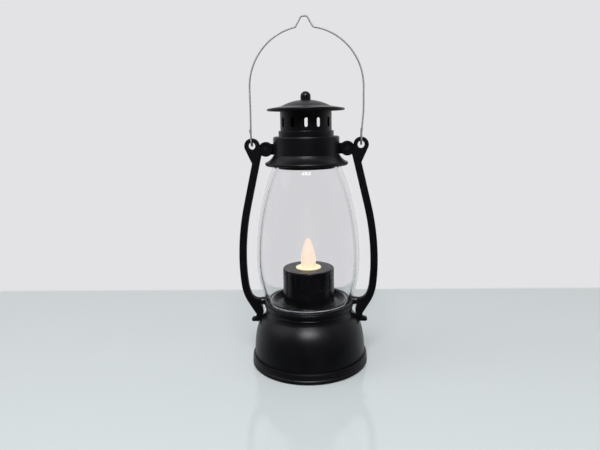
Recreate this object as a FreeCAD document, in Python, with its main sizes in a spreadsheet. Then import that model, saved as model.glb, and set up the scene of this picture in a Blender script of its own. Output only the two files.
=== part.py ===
import FreeCAD, Part
import math
import os

import Sketcher

# Candle lantern in the shape of a hurricane lamp, in millimetres.
# +Z is up, the two side arms lie along X and the front faces -Y.
# The origin is the middle of the foot, on the surface that the lantern stands on.

Vector = FreeCAD.Vector
Rotation = FreeCAD.Rotation
Placement = FreeCAD.Placement

# Driving sizes: alias, value and what it measures. Heights are above the surface it stands on.
size_rows = [
    # Foot
    ("foot_radius", 40.0, "edge of the foot and groove between its two beads"),
    ("foot_height", 7.3, "height of the face that carries the bowl"),
    ("foot_bead_height", 3.0, "height of the lower bead"),
    ("foot_bead_curve", 1.75, "section radius of the lower bead"),
    ("foot_band_curve", 4.0, "section radius of the upper bead"),
    ("foot_ring_width", 3.4, "width of the ring that touches the surface"),
    ("floor_rise", 2.0, "height of the floor's underside"),
    ("floor_thickness", 2.4, "floor of the foot"),
    ("lip_height", 2.5, "lip that centres the bowl"),
    ("lip_thickness", 1.4, "wall of that lip"),
    # Bowl and neck
    ("bowl_radius", 38.9, "widest radius of the bowl"),
    ("bowl_curve", 66.0, "section radius of the bowl"),
    ("bowl_curve_height", 10.0, "height where the bowl's side is upright"),
    ("bowl_wall", 2.0, "wall of the bowl"),
    ("shoulder_height", 24.0, "height where the bowl's shoulder begins"),
    ("neck_low", 35.0, "height where the shoulder meets the hollow neck"),
    ("neck_high", 41.4, "height where the neck meets the rim"),
    ("neck_curve", 5.6, "section radius of the hollow neck"),
    ("rim_radius", 31.1, "outer radius of the rim under the globe"),
    ("rim_edge", 0.8, "rounding of the rim"),
    ("seat_height", 45.0, "height of the seat under the globe"),
    ("plate_bore", 26.5, "radius of the bore that takes the candle plate"),
    ("ledge_height", 41.3, "height of the ledge under the candle plate"),
    ("ledge_width", 3.5, "width of that ledge"),
    ("ledge_thickness", 4.3, "depth of the ledge"),
    # Screws between foot and bowl
    ("foot_screw_across", 25.5, "screw place along X"),
    ("foot_screw_along", 19.0, "screw place along Y"),
    ("column_radius", 2.8, "screw columns inside the bowl"),
    ("column_top", 29.5, "height of the top of these columns"),
    ("well_radius", 4.2, "outside of the screw wells in the foot"),
    ("well_top", 6.6, "height of the top of the wells"),
    ("well_floor", 1.8, "floor of the wells under the columns"),
    ("screw_head_radius", 2.5, "all screw heads"),
    ("screw_head_height", 1.5, "all screw heads"),
    ("screw_radius", 1.1, "all screw shanks"),
    ("foot_screw_length", 9.0, "shank of the foot screws"),
    ("small_screw_length", 7.0, "shank of the candle screws"),
    ("screw_slot_width", 0.7, "cross recess in the heads"),
    ("screw_slot_depth", 0.8, "cross recess in the heads"),
    # Candle plate
    ("plate_thickness", 2.0, "floor of the candle plate"),
    ("plate_lip_height", 2.7, "lip above the plate"),
    ("plate_lip_width", 1.1, "width of the lip"),
    ("plate_ring_height", 0.8, "raised ring around the candle"),
    ("plate_ring_width", 1.1, "width of the raised ring"),
    ("lead_hole_radius", 5.0, "hole for the leads"),
    # Candle
    ("candle_radius", 17.9, "outside of the candle"),
    ("candle_height", 25.0, "candle above the plate"),
    ("candle_wall", 1.6, "side of the candle"),
    ("candle_top_thickness", 2.1, "top of the candle"),
    ("candle_edge", 1.0, "rounding of the candle's edge"),
    ("candle_column_along", 13.0, "screw columns in the candle, along Y"),
    ("candle_column_radius", 2.6, "screw columns in the candle"),
    # Flame
    ("flame_flange_radius", 8.7, "disc at the foot of the flame"),
    ("flame_flange_recess", 0.8, "depth of the disc's seat in the candle"),
    ("flame_flange_edge", 1.2, "thickness of the disc"),
    ("flame_radius", 5.2, "body of the flame"),
    ("flame_root_curve", 1.1, "hollow between disc and body"),
    ("flame_upright", 6.5, "upright part above the candle"),
    ("flame_height", 20.8, "tip above the candle"),
    ("flame_tip_radius", 1.7, "rounding of the tip"),
    ("flame_side_curve", 60.0, "section radius of the side"),
    ("flame_lean", 22.0, "slope of the side at the tip, in degrees"),
    ("flame_wall", 1.9, "wall of the flame"),
    ("flame_plug_depth", 1.6, "plug below the disc"),
    # Light and board
    ("board_length", 24.0, "board along X"),
    ("board_width", 15.0, "board along Y"),
    ("board_thickness", 1.2, "board"),
    ("board_drop", 5.5, "gap between the board and the candle's top"),
    ("board_screw_across", 9.0, "screw place along X"),
    ("board_post_radius", 2.2, "posts above the board"),
    ("led_radius", 2.5, "lens of the light"),
    ("led_flange_radius", 2.9, "rim of the light"),
    ("led_flange_height", 1.0, "rim of the light"),
    ("led_height", 8.6, "light without its legs"),
    ("led_leg_length", 4.0, "legs above the board"),
    ("led_leg_width", 0.5, "legs"),
    ("led_leg_pitch", 2.54, "legs apart"),
    ("resistor_length", 3.2, "resistor along Y"),
    ("resistor_width", 1.6, "resistor along X"),
    ("resistor_height", 0.7, "resistor"),
    ("resistor_place", 5.0, "resistor along X"),
    # Globe
    ("globe_radius", 35.6, "widest radius of the globe"),
    ("globe_wide_height", 74.5, "height of the widest place"),
    ("globe_top_height", 141.0, "height of the globe's mouth"),
    ("globe_low_curve", 75.0, "section radius below the widest place"),
    ("globe_high_curve", 167.0, "section radius above the widest place"),
    ("globe_wall", 2.2, "wall of the globe"),
    # Cap
    ("skirt_radius", 26.6, "middle of the skirt's rounded lip"),
    ("skirt_lip", 1.3, "rounding of that lip"),
    ("skirt_drop", 0.5, "lip's middle below the globe's mouth"),
    ("skirt_rise", 5.2, "foot of the collar above the globe's mouth"),
    ("skirt_curve", 11.0, "section radius of the flare"),
    ("collar_radius", 22.15, "outside of the collar"),
    ("collar_top", 158.55, "height of the collar's top"),
    ("collar_edge", 1.4, "rounding of the collar's top"),
    ("collar_wall", 1.65, "wall of the collar"),
    ("spigot_depth", 3.8, "sleeve that enters the globe"),
    ("spigot_wall", 1.4, "wall of that sleeve"),
    ("spigot_gap", 0.4, "sleeve to globe"),
    ("lug_thickness", 1.8, "lugs between the knuckle cheeks"),
    ("lug_margin", 1.3, "lug inside the knuckle's outline"),
    # Vent band
    ("band_radius", 17.06, "outside of the slotted band"),
    ("band_wall", 1.0, "wall of the band"),
    ("band_top", 174.8, "height of the band's top"),
    ("step_radius", 18.4, "step ring at the band's foot"),
    ("step_height", 3.65, "step ring"),
    ("step_edge", 0.5, "rounding of the step ring"),
    ("band_plug_depth", 2.1, "plug that enters the collar"),
    ("band_plug_wall", 1.6, "wall of that plug"),
    ("vent_count", 12, "slots around the band"),
    ("vent_width", 2.8, "width of a slot"),
    ("vent_length", 6.55, "height of a slot"),
    ("vent_middle", 167.7, "height of the slots' middle"),
    ("vent_turn", 1.0, "turn of the slots about the middle, in degrees"),
    # Lid
    ("brim_radius", 26.05, "outer radius of the brim"),
    ("brim_edge", 0.7, "rounding of the brim's edge"),
    ("brim_thickness", 1.3, "brim at its edge"),
    ("brim_lift", 0.4, "edge of the brim above the band's top"),
    ("dome_radius", 16.5, "foot of the dome"),
    ("dome_rise", 3.2, "foot of the dome above the band's top"),
    ("dome_curve", 34.5, "section radius of the dome"),
    ("dome_wall", 2.0, "wall of the dome"),
    ("lid_plug_depth", 2.5, "plug that enters the band"),
    ("lid_plug_wall", 1.5, "wall of that plug"),
    ("button_radius", 3.4, "button on the dome"),
    ("button_height", 12.8, "top of the button above the band's top"),
    # Arms
    ("arm_depth", 5.0, "arms along Y"),
    ("arm_width", 4.9, "arms across"),
    ("arm_reach", 45.65, "middle line at its widest"),
    ("arm_reach_height", 72.0, "height of the widest place"),
    ("arm_high_curve", 175.0, "middle line above the widest place"),
    ("arm_high_angle", 13.2, "lean of the straight part, in degrees"),
    ("arm_low_curve", 137.3, "middle line below the widest place"),
    ("arm_bend_height", 56.0, "height where the arm's lower bend begins"),
    ("arm_bend_curve", 29.3, "middle line of the lower bend"),
    ("shin_lean", 31.5, "lean of the arm below that bend, in degrees"),
    ("arm_edge", 0.9, "rounding of the arms"),
    ("eyelet_across", 36.5, "eyelet along X"),
    ("eyelet_height", 152.55, "height of the eyelet"),
    ("eyelet_radius", 5.05, "outside of the eyelet"),
    ("eyelet_bore", 2.4, "radius of the hole"),
    ("neck_height", 141.0, "height of the notch below the eyelet"),
    ("knuckle_across", 27.3, "knuckle along X"),
    ("knuckle_height", 150.2, "height of the knuckle"),
    ("knuckle_radius", 4.9, "outside of the knuckle"),
    ("knuckle_rim", 1.1, "width of the knuckle's raised rim"),
    ("knuckle_dish", 0.35, "depth of the face inside that rim"),
    ("pin_radius", 1.3, "pins in the knuckles"),
    ("pin_recess", 0.4, "pin ends below the arm's faces"),
    ("peg_height", 43.8, "height of the pegs"),
    ("peg_radius", 1.95, "pegs into the bowl's neck"),
    ("peg_end", 30.4, "inner end of the pegs"),
    ("socket_radius", 2.9, "sockets around the pegs"),
    ("socket_end", 32.4, "outer end of the sockets"),
    ("web_curve", 6.0, "hollow between the limb and its peg"),
    ("slit_across", 34.3, "inner edge of the limb under the peg"),
    ("slit_curve", 14.0, "that inner edge below the peg"),
    ("ankle_curve", 2.2, "hollow above the toe"),
    ("toe_height", 30.3, "height of the toe's tip circle"),
    ("toe_radius", 1.3, "toe's tip circle"),
    ("foot_top", 33.3, "height where the arm's foot meets the bowl"),
    # Bail
    ("wire_radius", 0.55, "wire of the bail"),
    ("hook_radius", 3.7, "bend of the hooks, about the pivot"),
    ("hook_rise", 3.6, "upright part of the legs above the pivot"),
    ("stub_rise", 7.0, "hook ends above the pivot"),
    ("stub_right", 36.9, "tip of the right hook along X"),
    ("stub_left", 38.2, "tip of the left hook along X"),
    ("bow_right", 37.8, "right leg at the foot of the bow"),
    ("bow_left", 36.2, "left leg at the foot of the bow"),
    ("bow_height", 188.5, "height of the foot of the bow"),
    ("peak_width", 11.2, "foot of the peak"),
    ("peak_foot_height", 226.9, "height of the foot of the peak"),
    ("peak_flat", 3.6, "flat top of the peak"),
    ("peak_height", 233.5, "height of the peak's middle line"),
    ("peak_curve", 1.3, "bends of the peak"),
    ("leg_curve", 14.0, "bend above the hooks"),
    # Cells and their bay
    ("cell_radius", 5.25, "cell"),
    ("cell_length", 43.5, "cell without its nub"),
    ("cell_edge", 0.5, "rounding of the cell"),
    ("nub_radius", 1.9, "nub of the cell"),
    ("nub_height", 1.0, "nub of the cell"),
    ("cell_pitch", 11.1, "cells apart"),
    ("cell_margin", 0.65, "cell to the bay's side and roof"),
    ("spring_length", 4.0, "pressed contact spring"),
    ("spring_radius", 3.3, "wide end of a spring"),
    ("spring_tip_radius", 2.2, "narrow end of a spring"),
    ("spring_wire", 0.3, "radius of the spring wire"),
    ("spring_turns", 3.0, "turns of a spring"),
    ("contact_thickness", 0.4, "contact plates"),
    ("contact_width", 8.6, "one contact"),
    ("contact_height", 9.0, "contacts"),
    ("tab_width", 3.0, "solder tabs"),
    ("tab_rise", 2.6, "solder tabs above the bay"),
    ("bay_wall", 1.4, "walls and roof of the bay"),
    # Battery door
    ("door_thickness", 1.4, "door"),
    ("door_margin", 1.0, "door beyond the bay's opening"),
    ("door_gap", 0.2, "door to its frame"),
    ("trunnion_radius", 0.55, "pins of the door"),
    ("trunnion_length", 1.1, "pins of the door"),
    ("latch_width", 11.0, "spring latch of the door"),
    ("latch_length", 8.0, "spring latch of the door"),
    ("latch_slot", 1.0, "slots beside the latch"),
    ("ridge_height", 0.4, "finger ridges"),
    ("ridge_width", 0.8, "finger ridges"),
    ("ridge_pitch", 1.8, "finger ridges apart"),
    # Switch
    ("switch_across", 27.5, "switch along X"),
    ("switch_travel", 3.0, "travel of the knob"),
    ("switch_width", 6.4, "housing along X"),
    ("switch_length", 12.0, "housing along Y"),
    ("switch_height", 5.0, "housing"),
    ("switch_wall", 0.7, "housing"),
    ("carriage_length", 6.0, "slider inside the housing"),
    ("carriage_height", 3.0, "slider inside the housing"),
    ("stem_width", 2.6, "stem through the floor, along X"),
    ("stem_length", 3.0, "stem through the floor, along Y"),
    ("knob_width", 4.2, "knob along X"),
    ("knob_length", 4.6, "knob along Y"),
    ("knob_height", 1.2, "knob"),
    ("terminal_height", 3.0, "switch terminals"),
    ("terminal_width", 1.4, "switch terminals"),
    ("terminal_thickness", 0.5, "switch terminals"),
    ("terminal_pitch", 3.0, "switch terminals apart"),
    ("lead_radius", 0.6, "insulated leads"),
    ("lead_spread", 3.0, "leads apart where they pass the plate"),
    ("lead_bend", 4.0, "bends of the leads"),
    # Fits
    ("slide_gap", 0.1, "pieces that plug or slide into each other"),
    ("loose_gap", 0.2, "pieces that drop into each other"),
    ("skin_gap", 0.15, "arm's foot to the bowl"),
]


class Size:
    """A length that knows its number and the sheet expression that gives it."""

    def __init__(self, number, text):
        self.number = number
        self.text = text

    def join(self, sign, other, number):
        return Size(number, f"({self.text} {sign} {other.text})")

    def __add__(self, other):
        other = as_size(other)
        return self.join("+", other, self.number + other.number)

    def __sub__(self, other):
        other = as_size(other)
        return self.join("-", other, self.number - other.number)

    def __mul__(self, other):
        other = as_size(other)
        return self.join("*", other, self.number * other.number)

    def __truediv__(self, other):
        other = as_size(other)
        return self.join("/", other, self.number / other.number)

    def __neg__(self):
        return self * -1

    __radd__ = __add__
    __rmul__ = __mul__

    def __rsub__(self, other):
        return as_size(other) - self


def as_size(value):
    if isinstance(value, Size):
        return value
    return Size(float(value), f"({value})")


def root(size):
    return Size(math.sqrt(size.number), f"sqrt{size.text}")


def sine(size):
    return Size(math.sin(math.radians(size.number)), f"sin({size.text} * 1 deg)")


def cosine(size):
    return Size(math.cos(math.radians(size.number)), f"cos({size.text} * 1 deg)")


class SheetSizes:
    """The driving sizes, each an attribute of its own name, kept in the document's sheet."""

    def __init__(self, document, rows):
        self.sheet = document.addObject("Spreadsheet::Sheet", "Sizes")
        for index, (alias, value, note) in enumerate(rows, start=1):
            self.sheet.set(f"A{index}", alias)
            self.sheet.set(f"B{index}", str(value))
            self.sheet.set(f"C{index}", note)
            self.sheet.setAlias(f"B{index}", alias)
            setattr(self, alias, Size(float(value), f"Sizes.{alias}"))


doc = FreeCAD.newDocument("candle_lantern")
dim = SheetSizes(doc, size_rows)
doc.recompute()
parts = []


def bind(item, name, size):
    """Set a property from the sheet."""
    size = as_size(size)
    item.setExpression(name, size.text)


def place(item, x=0, y=0, z=0, rotation=None):
    """Put an object at a point that follows the sheet."""
    item.Placement = Placement(Vector(), rotation or Rotation())
    for axis, value in (("x", x), ("y", y), ("z", z)):
        bind(item, f"Placement.Base.{axis}", value)


def new_body(label):
    body = doc.addObject("PartDesign::Body", label)
    body.Label = label
    parts.append(body)
    return body


def new_sketch(body, name, plane, offset=None):
    """An empty sketch on one of the body's own planes, moved along that plane's normal."""
    sketch = body.newObject("Sketcher::SketchObject", f"{body.Name}_{name}")
    support = [item for item in body.Origin.OriginFeatures if item.Role == plane]
    sketch.AttachmentSupport = [(support[0], "")]
    sketch.MapMode = "FlatFace"
    if offset is not None:
        bind(sketch, "AttachmentOffset.Base.z", offset)
    return sketch


def pin_point(sketch, geometry, end, across, up):
    """Fix one point of a sketch by its two coordinates."""
    for kind, axis, size in (("DistanceX", -2, as_size(across)), ("DistanceY", -1, as_size(up))):
        if size.text == "(0)":
            sketch.addConstraint(Sketcher.Constraint("PointOnObject", geometry, end, axis))
        else:
            rule = Sketcher.Constraint(kind, -1, 1, geometry, end, size.number)
            bind(sketch, f"Constraints[{sketch.addConstraint(rule)}]", size)


def arc_between(start, end, radius):
    """The shorter arc from start to end; a positive radius turns left, a negative one right."""
    chord = end - start
    half = chord.Length / 2
    side = Vector(-chord.y, chord.x, 0).normalize() * math.copysign(1, radius)
    middle = (start + end) * 0.5 + side * math.sqrt(max(radius * radius - half * half, 0))
    first, last = (start, end) if radius > 0 else (end, start)
    angles = [math.atan2(point.y - middle.y, point.x - middle.x) for point in (first, last)]
    return Part.ArcOfCircle(Part.Circle(middle, Vector(0, 0, 1), abs(radius)), *angles)


def outline(body, name, plane, corners, offset=None):
    """A closed outline. A corner is (across, up) or (across, up, radius of the arc to the next)."""
    sketch = new_sketch(body, name, plane, offset)
    points = [Vector(as_size(corner[0]).number, as_size(corner[1]).number, 0) for corner in corners]
    following = points[1:] + points[:1]
    ends = []
    for corner, start, end in zip(corners, points, following):
        if len(corner) == 2:
            sketch.addGeometry(Part.LineSegment(start, end))
            ends.append((1, 2))
            continue
        bend = as_size(corner[2])
        index = sketch.addGeometry(arc_between(start, end, bend.number))
        rule = sketch.addConstraint(Sketcher.Constraint("Radius", index, abs(bend.number)))
        bind(sketch, f"Constraints[{rule}]", bend if bend.number > 0 else -bend)
        ends.append((1, 2) if bend.number > 0 else (2, 1))
    for index, corner in enumerate(corners):
        after = (index + 1) % len(corners)
        meet = Sketcher.Constraint("Coincident", index, ends[index][1], after, ends[after][0])
        sketch.addConstraint(meet)
        pin_point(sketch, index, ends[index][0], corner[0], corner[1])
    return sketch


def circles(body, name, plane, centres, radius, offset=None):
    """A sketch of equal circles."""
    sketch = new_sketch(body, name, plane, offset)
    for across, up in centres:
        middle = Vector(as_size(across).number, as_size(up).number, 0)
        index = sketch.addGeometry(Part.Circle(middle, Vector(0, 0, 1), radius.number))
        rule = sketch.addConstraint(Sketcher.Constraint("Radius", index, radius.number))
        bind(sketch, f"Constraints[{rule}]", radius)
        pin_point(sketch, index, 3, across, up)
    return sketch


def rectangle(middle_across, middle_up, width, height):
    """The corners of a rectangle."""
    left = middle_across - width / 2
    right = middle_across + width / 2
    low = middle_up - height / 2
    high = middle_up + height / 2
    return [(left, low), (right, low), (right, high), (left, high)]


def revolve(body, name, corners, kind="Revolution"):
    """Turn an outline about Z, to add (Revolution) or to cut (Groove)."""
    sketch = outline(body, name, "XZ_Plane", corners)
    feature = body.newObject(f"PartDesign::{kind}", f"{sketch.Name}_turn")
    feature.Profile = sketch
    feature.ReferenceAxis = (sketch, ["V_Axis"])
    feature.Angle = 360
    return finish_feature(feature, kind == "Groove")


def turn_about(body, name, across, height, corners, kind="Revolution"):
    """Turn an outline of (radius, depth) corners about a line along Y, to add or to cut."""
    moved = [(across + corner[0], *corner[1:]) for corner in corners]
    sketch = outline(body, name, "XY_Plane", moved, height)
    ends = [Vector(across.number, along, 0) for along in (0, 1)]
    axis = sketch.addGeometry(Part.LineSegment(*ends), True)
    pin_point(sketch, axis, 1, across, 0)
    pin_point(sketch, axis, 2, across, 1)
    feature = body.newObject(f"PartDesign::{kind}", f"{sketch.Name}_turn")
    feature.Profile = sketch
    feature.ReferenceAxis = (sketch, ["Axis0"])
    feature.Angle = 360
    return finish_feature(feature, kind == "Groove")


def extrude(body, sketch, kind, length, backwards=False, both_ways=False):
    """A Pad or a Pocket of a sketch."""
    feature = body.newObject(f"PartDesign::{kind}", f"{sketch.Name}_{kind.lower()}")
    feature.Profile = sketch
    feature.SideType = "Symmetric" if both_ways else "One side"
    feature.Reversed = backwards
    bind(feature, "Length", length)
    return finish_feature(feature, kind == "Pocket")


def finish_feature(feature, cuts):
    """Recompute and make sure that the feature really added or took away material."""
    doc.recompute()
    base = feature.BaseFeature
    before = base.Shape.Volume if base else 0
    change = feature.Shape.Volume - before
    if (change >= 0) if cuts else (change <= 0):
        raise RuntimeError(f"{feature.Name} changes nothing: {change}")
    return feature


def mirror(body, features, plane):
    """Repeat features on the other side of one of the body's planes."""
    copy = body.newObject("PartDesign::Mirrored", f"{features[0].Name}_mirrored")
    copy.Originals = features
    copy.MirrorPlane = ([item for item in body.Origin.OriginFeatures if item.Role == plane][0], [""])
    body.Tip = copy
    doc.recompute()
    return copy


def round_outline(body, feature, sketch, chosen, radius):
    """Fillet the chosen outline edges of an upright pad, on both of its faces."""
    middles = []
    for index in chosen:
        line = sketch.Geometry[index]
        point = line.value((line.FirstParameter + line.LastParameter) / 2)
        middles.append((point.x, point.y))
    names = []
    for number, edge in enumerate(feature.Shape.Edges, start=1):
        point = edge.valueAt((edge.FirstParameter + edge.LastParameter) / 2)
        if any(math.hypot(point.x - across, point.z - up) < 1e-3 for across, up in middles):
            names.append(f"Edge{number}")
    fillet = body.newObject("PartDesign::Fillet", f"{feature.Name}_round")
    fillet.Base = (feature, names)
    bind(fillet, "Radius", radius)
    return finish_feature(fillet, True)


def box(name, x, y, z, width, depth, height):
    """A box from the middle of its bottom face."""
    item = doc.addObject("Part::Box", name)
    bind(item, "Length", width)
    bind(item, "Width", depth)
    bind(item, "Height", height)
    place(item, x - width / 2, y - depth / 2, z)
    return item


def cylinder(name, radius, height, x, y, z, rotation=None):
    item = doc.addObject("Part::Cylinder", name)
    bind(item, "Radius", radius)
    bind(item, "Height", height)
    place(item, x, y, z, rotation)
    return item


def fuse(name, items):
    item = doc.addObject("Part::MultiFuse", name)
    item.Shapes = items
    return item


def cut(name, base, tool):
    item = doc.addObject("Part::Cut", name)
    item.Base = base
    item.Tool = tool
    return item


def group(label, items):
    """Several equal pieces in one node."""
    item = doc.addObject("Part::Compound", label)
    item.Label = label
    item.Links = items
    parts.append(item)
    return item


def solid_part(label, shape):
    """A piece whose shape is worked out here from the sizes."""
    item = doc.addObject("Part::Feature", label)
    item.Label = label
    item.Shape = shape
    item.Placement = Placement()
    parts.append(item)
    return item


def turn_path(corners):
    """A wire of straight runs joined by tangent arcs. A corner is (point, bend radius)."""
    edges = []
    last = corners[0][0]
    for (before, _), (corner, bend), (after, _) in zip(corners, corners[1:], corners[2:]):
        back = (before - corner).normalize()
        ahead = (after - corner).normalize()
        half_turn = (math.pi - back.getAngle(ahead)) / 2
        reach = bend * math.tan(half_turn)
        start = corner + back * reach
        end = corner + ahead * reach
        bisector = (back + ahead).normalize()
        middle = corner + bisector * (bend / math.cos(half_turn) - bend)
        if start.distanceToPoint(last) > 1e-6:
            edges.append(Part.LineSegment(last, start).toShape())
        edges.append(Part.Arc(start, middle, end).toShape())
        last = end
    edges.append(Part.LineSegment(last, corners[-1][0]).toShape())
    return Part.Wire(edges)


def wire_solid(path, radius):
    """A round wire along a path, checked against its section times its length."""
    start = path.Edges[0].Vertexes[0].Point
    heading = path.Edges[0].tangentAt(path.Edges[0].FirstParameter)
    section = Part.Wire([Part.makeCircle(radius, start, heading)])
    solid = path.makePipeShell([section], True, False)
    expected = math.pi * radius * radius * path.Length
    if abs(solid.Volume / expected - 1) > 0.02:
        raise RuntimeError(f"wire volume {solid.Volume:.2f}, expected {expected:.2f}")
    return solid


def screw(name, x, y, z, length):
    """A pan-head screw that points up, with its head's bearing face at z."""
    bottom = z - dim.screw_head_height
    head = cylinder(f"{name}_head", dim.screw_head_radius, dim.screw_head_height, x, y, bottom)
    shank = cylinder(f"{name}_shank", dim.screw_radius, length, x, y, z)
    span = dim.screw_head_radius * 1.3
    slots = [
        box(f"{name}_slot_a", x, y, bottom, span, dim.screw_slot_width, dim.screw_slot_depth),
        box(f"{name}_slot_b", x, y, bottom, dim.screw_slot_width, span, dim.screw_slot_depth),
    ]
    return cut(name, fuse(f"{name}_body", [head, shank]), fuse(f"{name}_recess", slots))


# Levels and radii that several pieces share
floor_top = dim.floor_rise + dim.floor_thickness
bowl_inside = dim.bowl_radius - dim.bowl_wall
bowl_centre = dim.bowl_radius - dim.bowl_curve
plate_top = dim.ledge_height + dim.plate_thickness
candle_top = plate_top + dim.candle_height
candle_under = candle_top - dim.candle_top_thickness
board_top = candle_under - dim.board_drop
board_under = board_top - dim.board_thickness
corner_signs = [(1, 1), (-1, 1), (-1, -1), (1, -1)]
foot_screw_places = [(dim.foot_screw_across * i, dim.foot_screw_along * j) for i, j in corner_signs]
candle_screw_places = [(0, dim.candle_column_along), (0, -dim.candle_column_along)]
board_screw_places = [(dim.board_screw_across, 0), (-dim.board_screw_across, 0)]


# The bowl's side is an arc, and its shoulder a tighter arc that runs on from it to the neck.
side_rise = dim.shoulder_height - dim.bowl_curve_height
side_run = root(dim.bowl_curve * dim.bowl_curve - side_rise * side_rise)
side_out = side_run / dim.bowl_curve
side_up = side_rise / dim.bowl_curve
break_radius = bowl_centre + side_run
shoulder_in = break_radius - dim.rim_radius
shoulder_rise = dim.neck_low - dim.shoulder_height
shoulder_curve = (shoulder_in * shoulder_in + shoulder_rise * shoulder_rise) / (
    (shoulder_in * side_out - shoulder_rise * side_up) * 2)
shoulder_across = break_radius - shoulder_curve * side_out
shoulder_level = dim.shoulder_height - shoulder_curve * side_up


def shoulder_radius(height, offset):
    """Radius of the bowl's shoulder at a height, moved outward by an offset."""
    reach = shoulder_curve + offset
    rise = height - shoulder_level
    return shoulder_across + root(reach * reach - rise * rise)


def make_base_bowl():
    """Domed base with its hollow neck, globe seat, plate ledge, peg sockets and screw columns."""
    body = new_body("base_bowl")
    wall = dim.bowl_wall
    inner_curve = dim.bowl_curve - wall
    inner_top = dim.neck_low - wall
    ceiling = dim.ledge_height - dim.ledge_thickness
    ledge_bore = dim.plate_bore - dim.ledge_width
    revolve(body, "wall", [
        (bowl_inside, dim.foot_height),
        (dim.bowl_radius, dim.foot_height),
        (dim.bowl_radius, dim.bowl_curve_height, dim.bowl_curve),
        (break_radius, dim.shoulder_height, shoulder_curve),
        (dim.rim_radius, dim.neck_low, -dim.neck_curve),
        (dim.rim_radius, dim.neck_high),
        (dim.rim_radius, dim.seat_height - dim.rim_edge, dim.rim_edge),
        (dim.rim_radius - dim.rim_edge, dim.seat_height),
        (dim.plate_bore, dim.seat_height),
        (dim.plate_bore, dim.ledge_height),
        (ledge_bore, dim.ledge_height),
        (ledge_bore, ceiling),
        (dim.plate_bore, ceiling),
        (shoulder_radius(inner_top, -wall), inner_top, wall - shoulder_curve),
        (break_radius - wall * side_out, dim.shoulder_height - wall * side_up, -inner_curve),
        (bowl_inside, dim.bowl_curve_height),
    ])
    columns = circles(body, "columns", "XY_Plane", foot_screw_places, dim.column_radius, dim.well_top)
    extrude(body, columns, "Pad", dim.column_top - dim.well_top)
    pilot = dim.screw_radius + dim.slide_gap
    pilots = circles(body, "pilots", "XY_Plane", foot_screw_places, pilot, dim.well_top)
    extrude(body, pilots, "Pocket", dim.foot_screw_length, backwards=True)
    peg_place = [(0, dim.peg_height)]
    root_plane = dim.plate_bore + dim.loose_gap
    sockets = circles(body, "socket", "YZ_Plane", peg_place, dim.socket_radius, root_plane)
    socket = extrude(body, sockets, "Pad", dim.socket_end - root_plane)
    mirror(body, [socket], "YZ_Plane")
    socket_top = dim.peg_height + dim.socket_radius + dim.loose_gap
    revolve(body, "seat", [
        (dim.plate_bore, dim.seat_height),
        (globe_low_radius(dim.seat_height) + dim.loose_gap, dim.seat_height),
        (globe_low_radius(socket_top) + dim.loose_gap, socket_top),
        (dim.plate_bore, socket_top),
    ], "Groove")
    hole_plane = dim.peg_end - dim.loose_gap
    holes = circles(body, "peg_hole", "YZ_Plane", peg_place, dim.peg_radius + dim.slide_gap, hole_plane)
    hole = extrude(body, holes, "Pocket", dim.socket_end - hole_plane + dim.bowl_wall, backwards=True)
    mirror(body, [hole], "YZ_Plane")


def globe_low_radius(height):
    """Outer radius of the globe at a height below its widest place."""
    drop = dim.globe_wide_height - height
    curve = dim.globe_low_curve
    return dim.globe_radius - curve + root(curve * curve - drop * drop)


# Battery bay: three cells side by side along Y
bay_width = dim.cell_pitch * 2 + dim.cell_radius * 2 + dim.cell_margin * 2
contact_room = dim.spring_length + dim.contact_thickness * 2 + dim.slide_gap * 2
bay_length = dim.cell_length + dim.nub_height + contact_room
door_level = dim.floor_rise + dim.slide_gap / 2
door_top = door_level + dim.door_thickness
frame_top = door_top + dim.slide_gap / 2
cell_level = frame_top + dim.cell_margin + dim.cell_radius
bay_ceiling = cell_level + dim.cell_radius + dim.cell_margin
bay_roof = bay_ceiling + dim.bay_wall
door_width = bay_width + dim.door_margin * 2
door_length = bay_length + dim.door_margin * 2
hinge_along = dim.door_thickness / 2 - door_length / 2
hinge_level = door_level + dim.door_thickness / 2
contact_face = bay_length / 2
output_places = [(dim.cell_pitch, 1), (-dim.cell_pitch, -1)]


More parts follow.
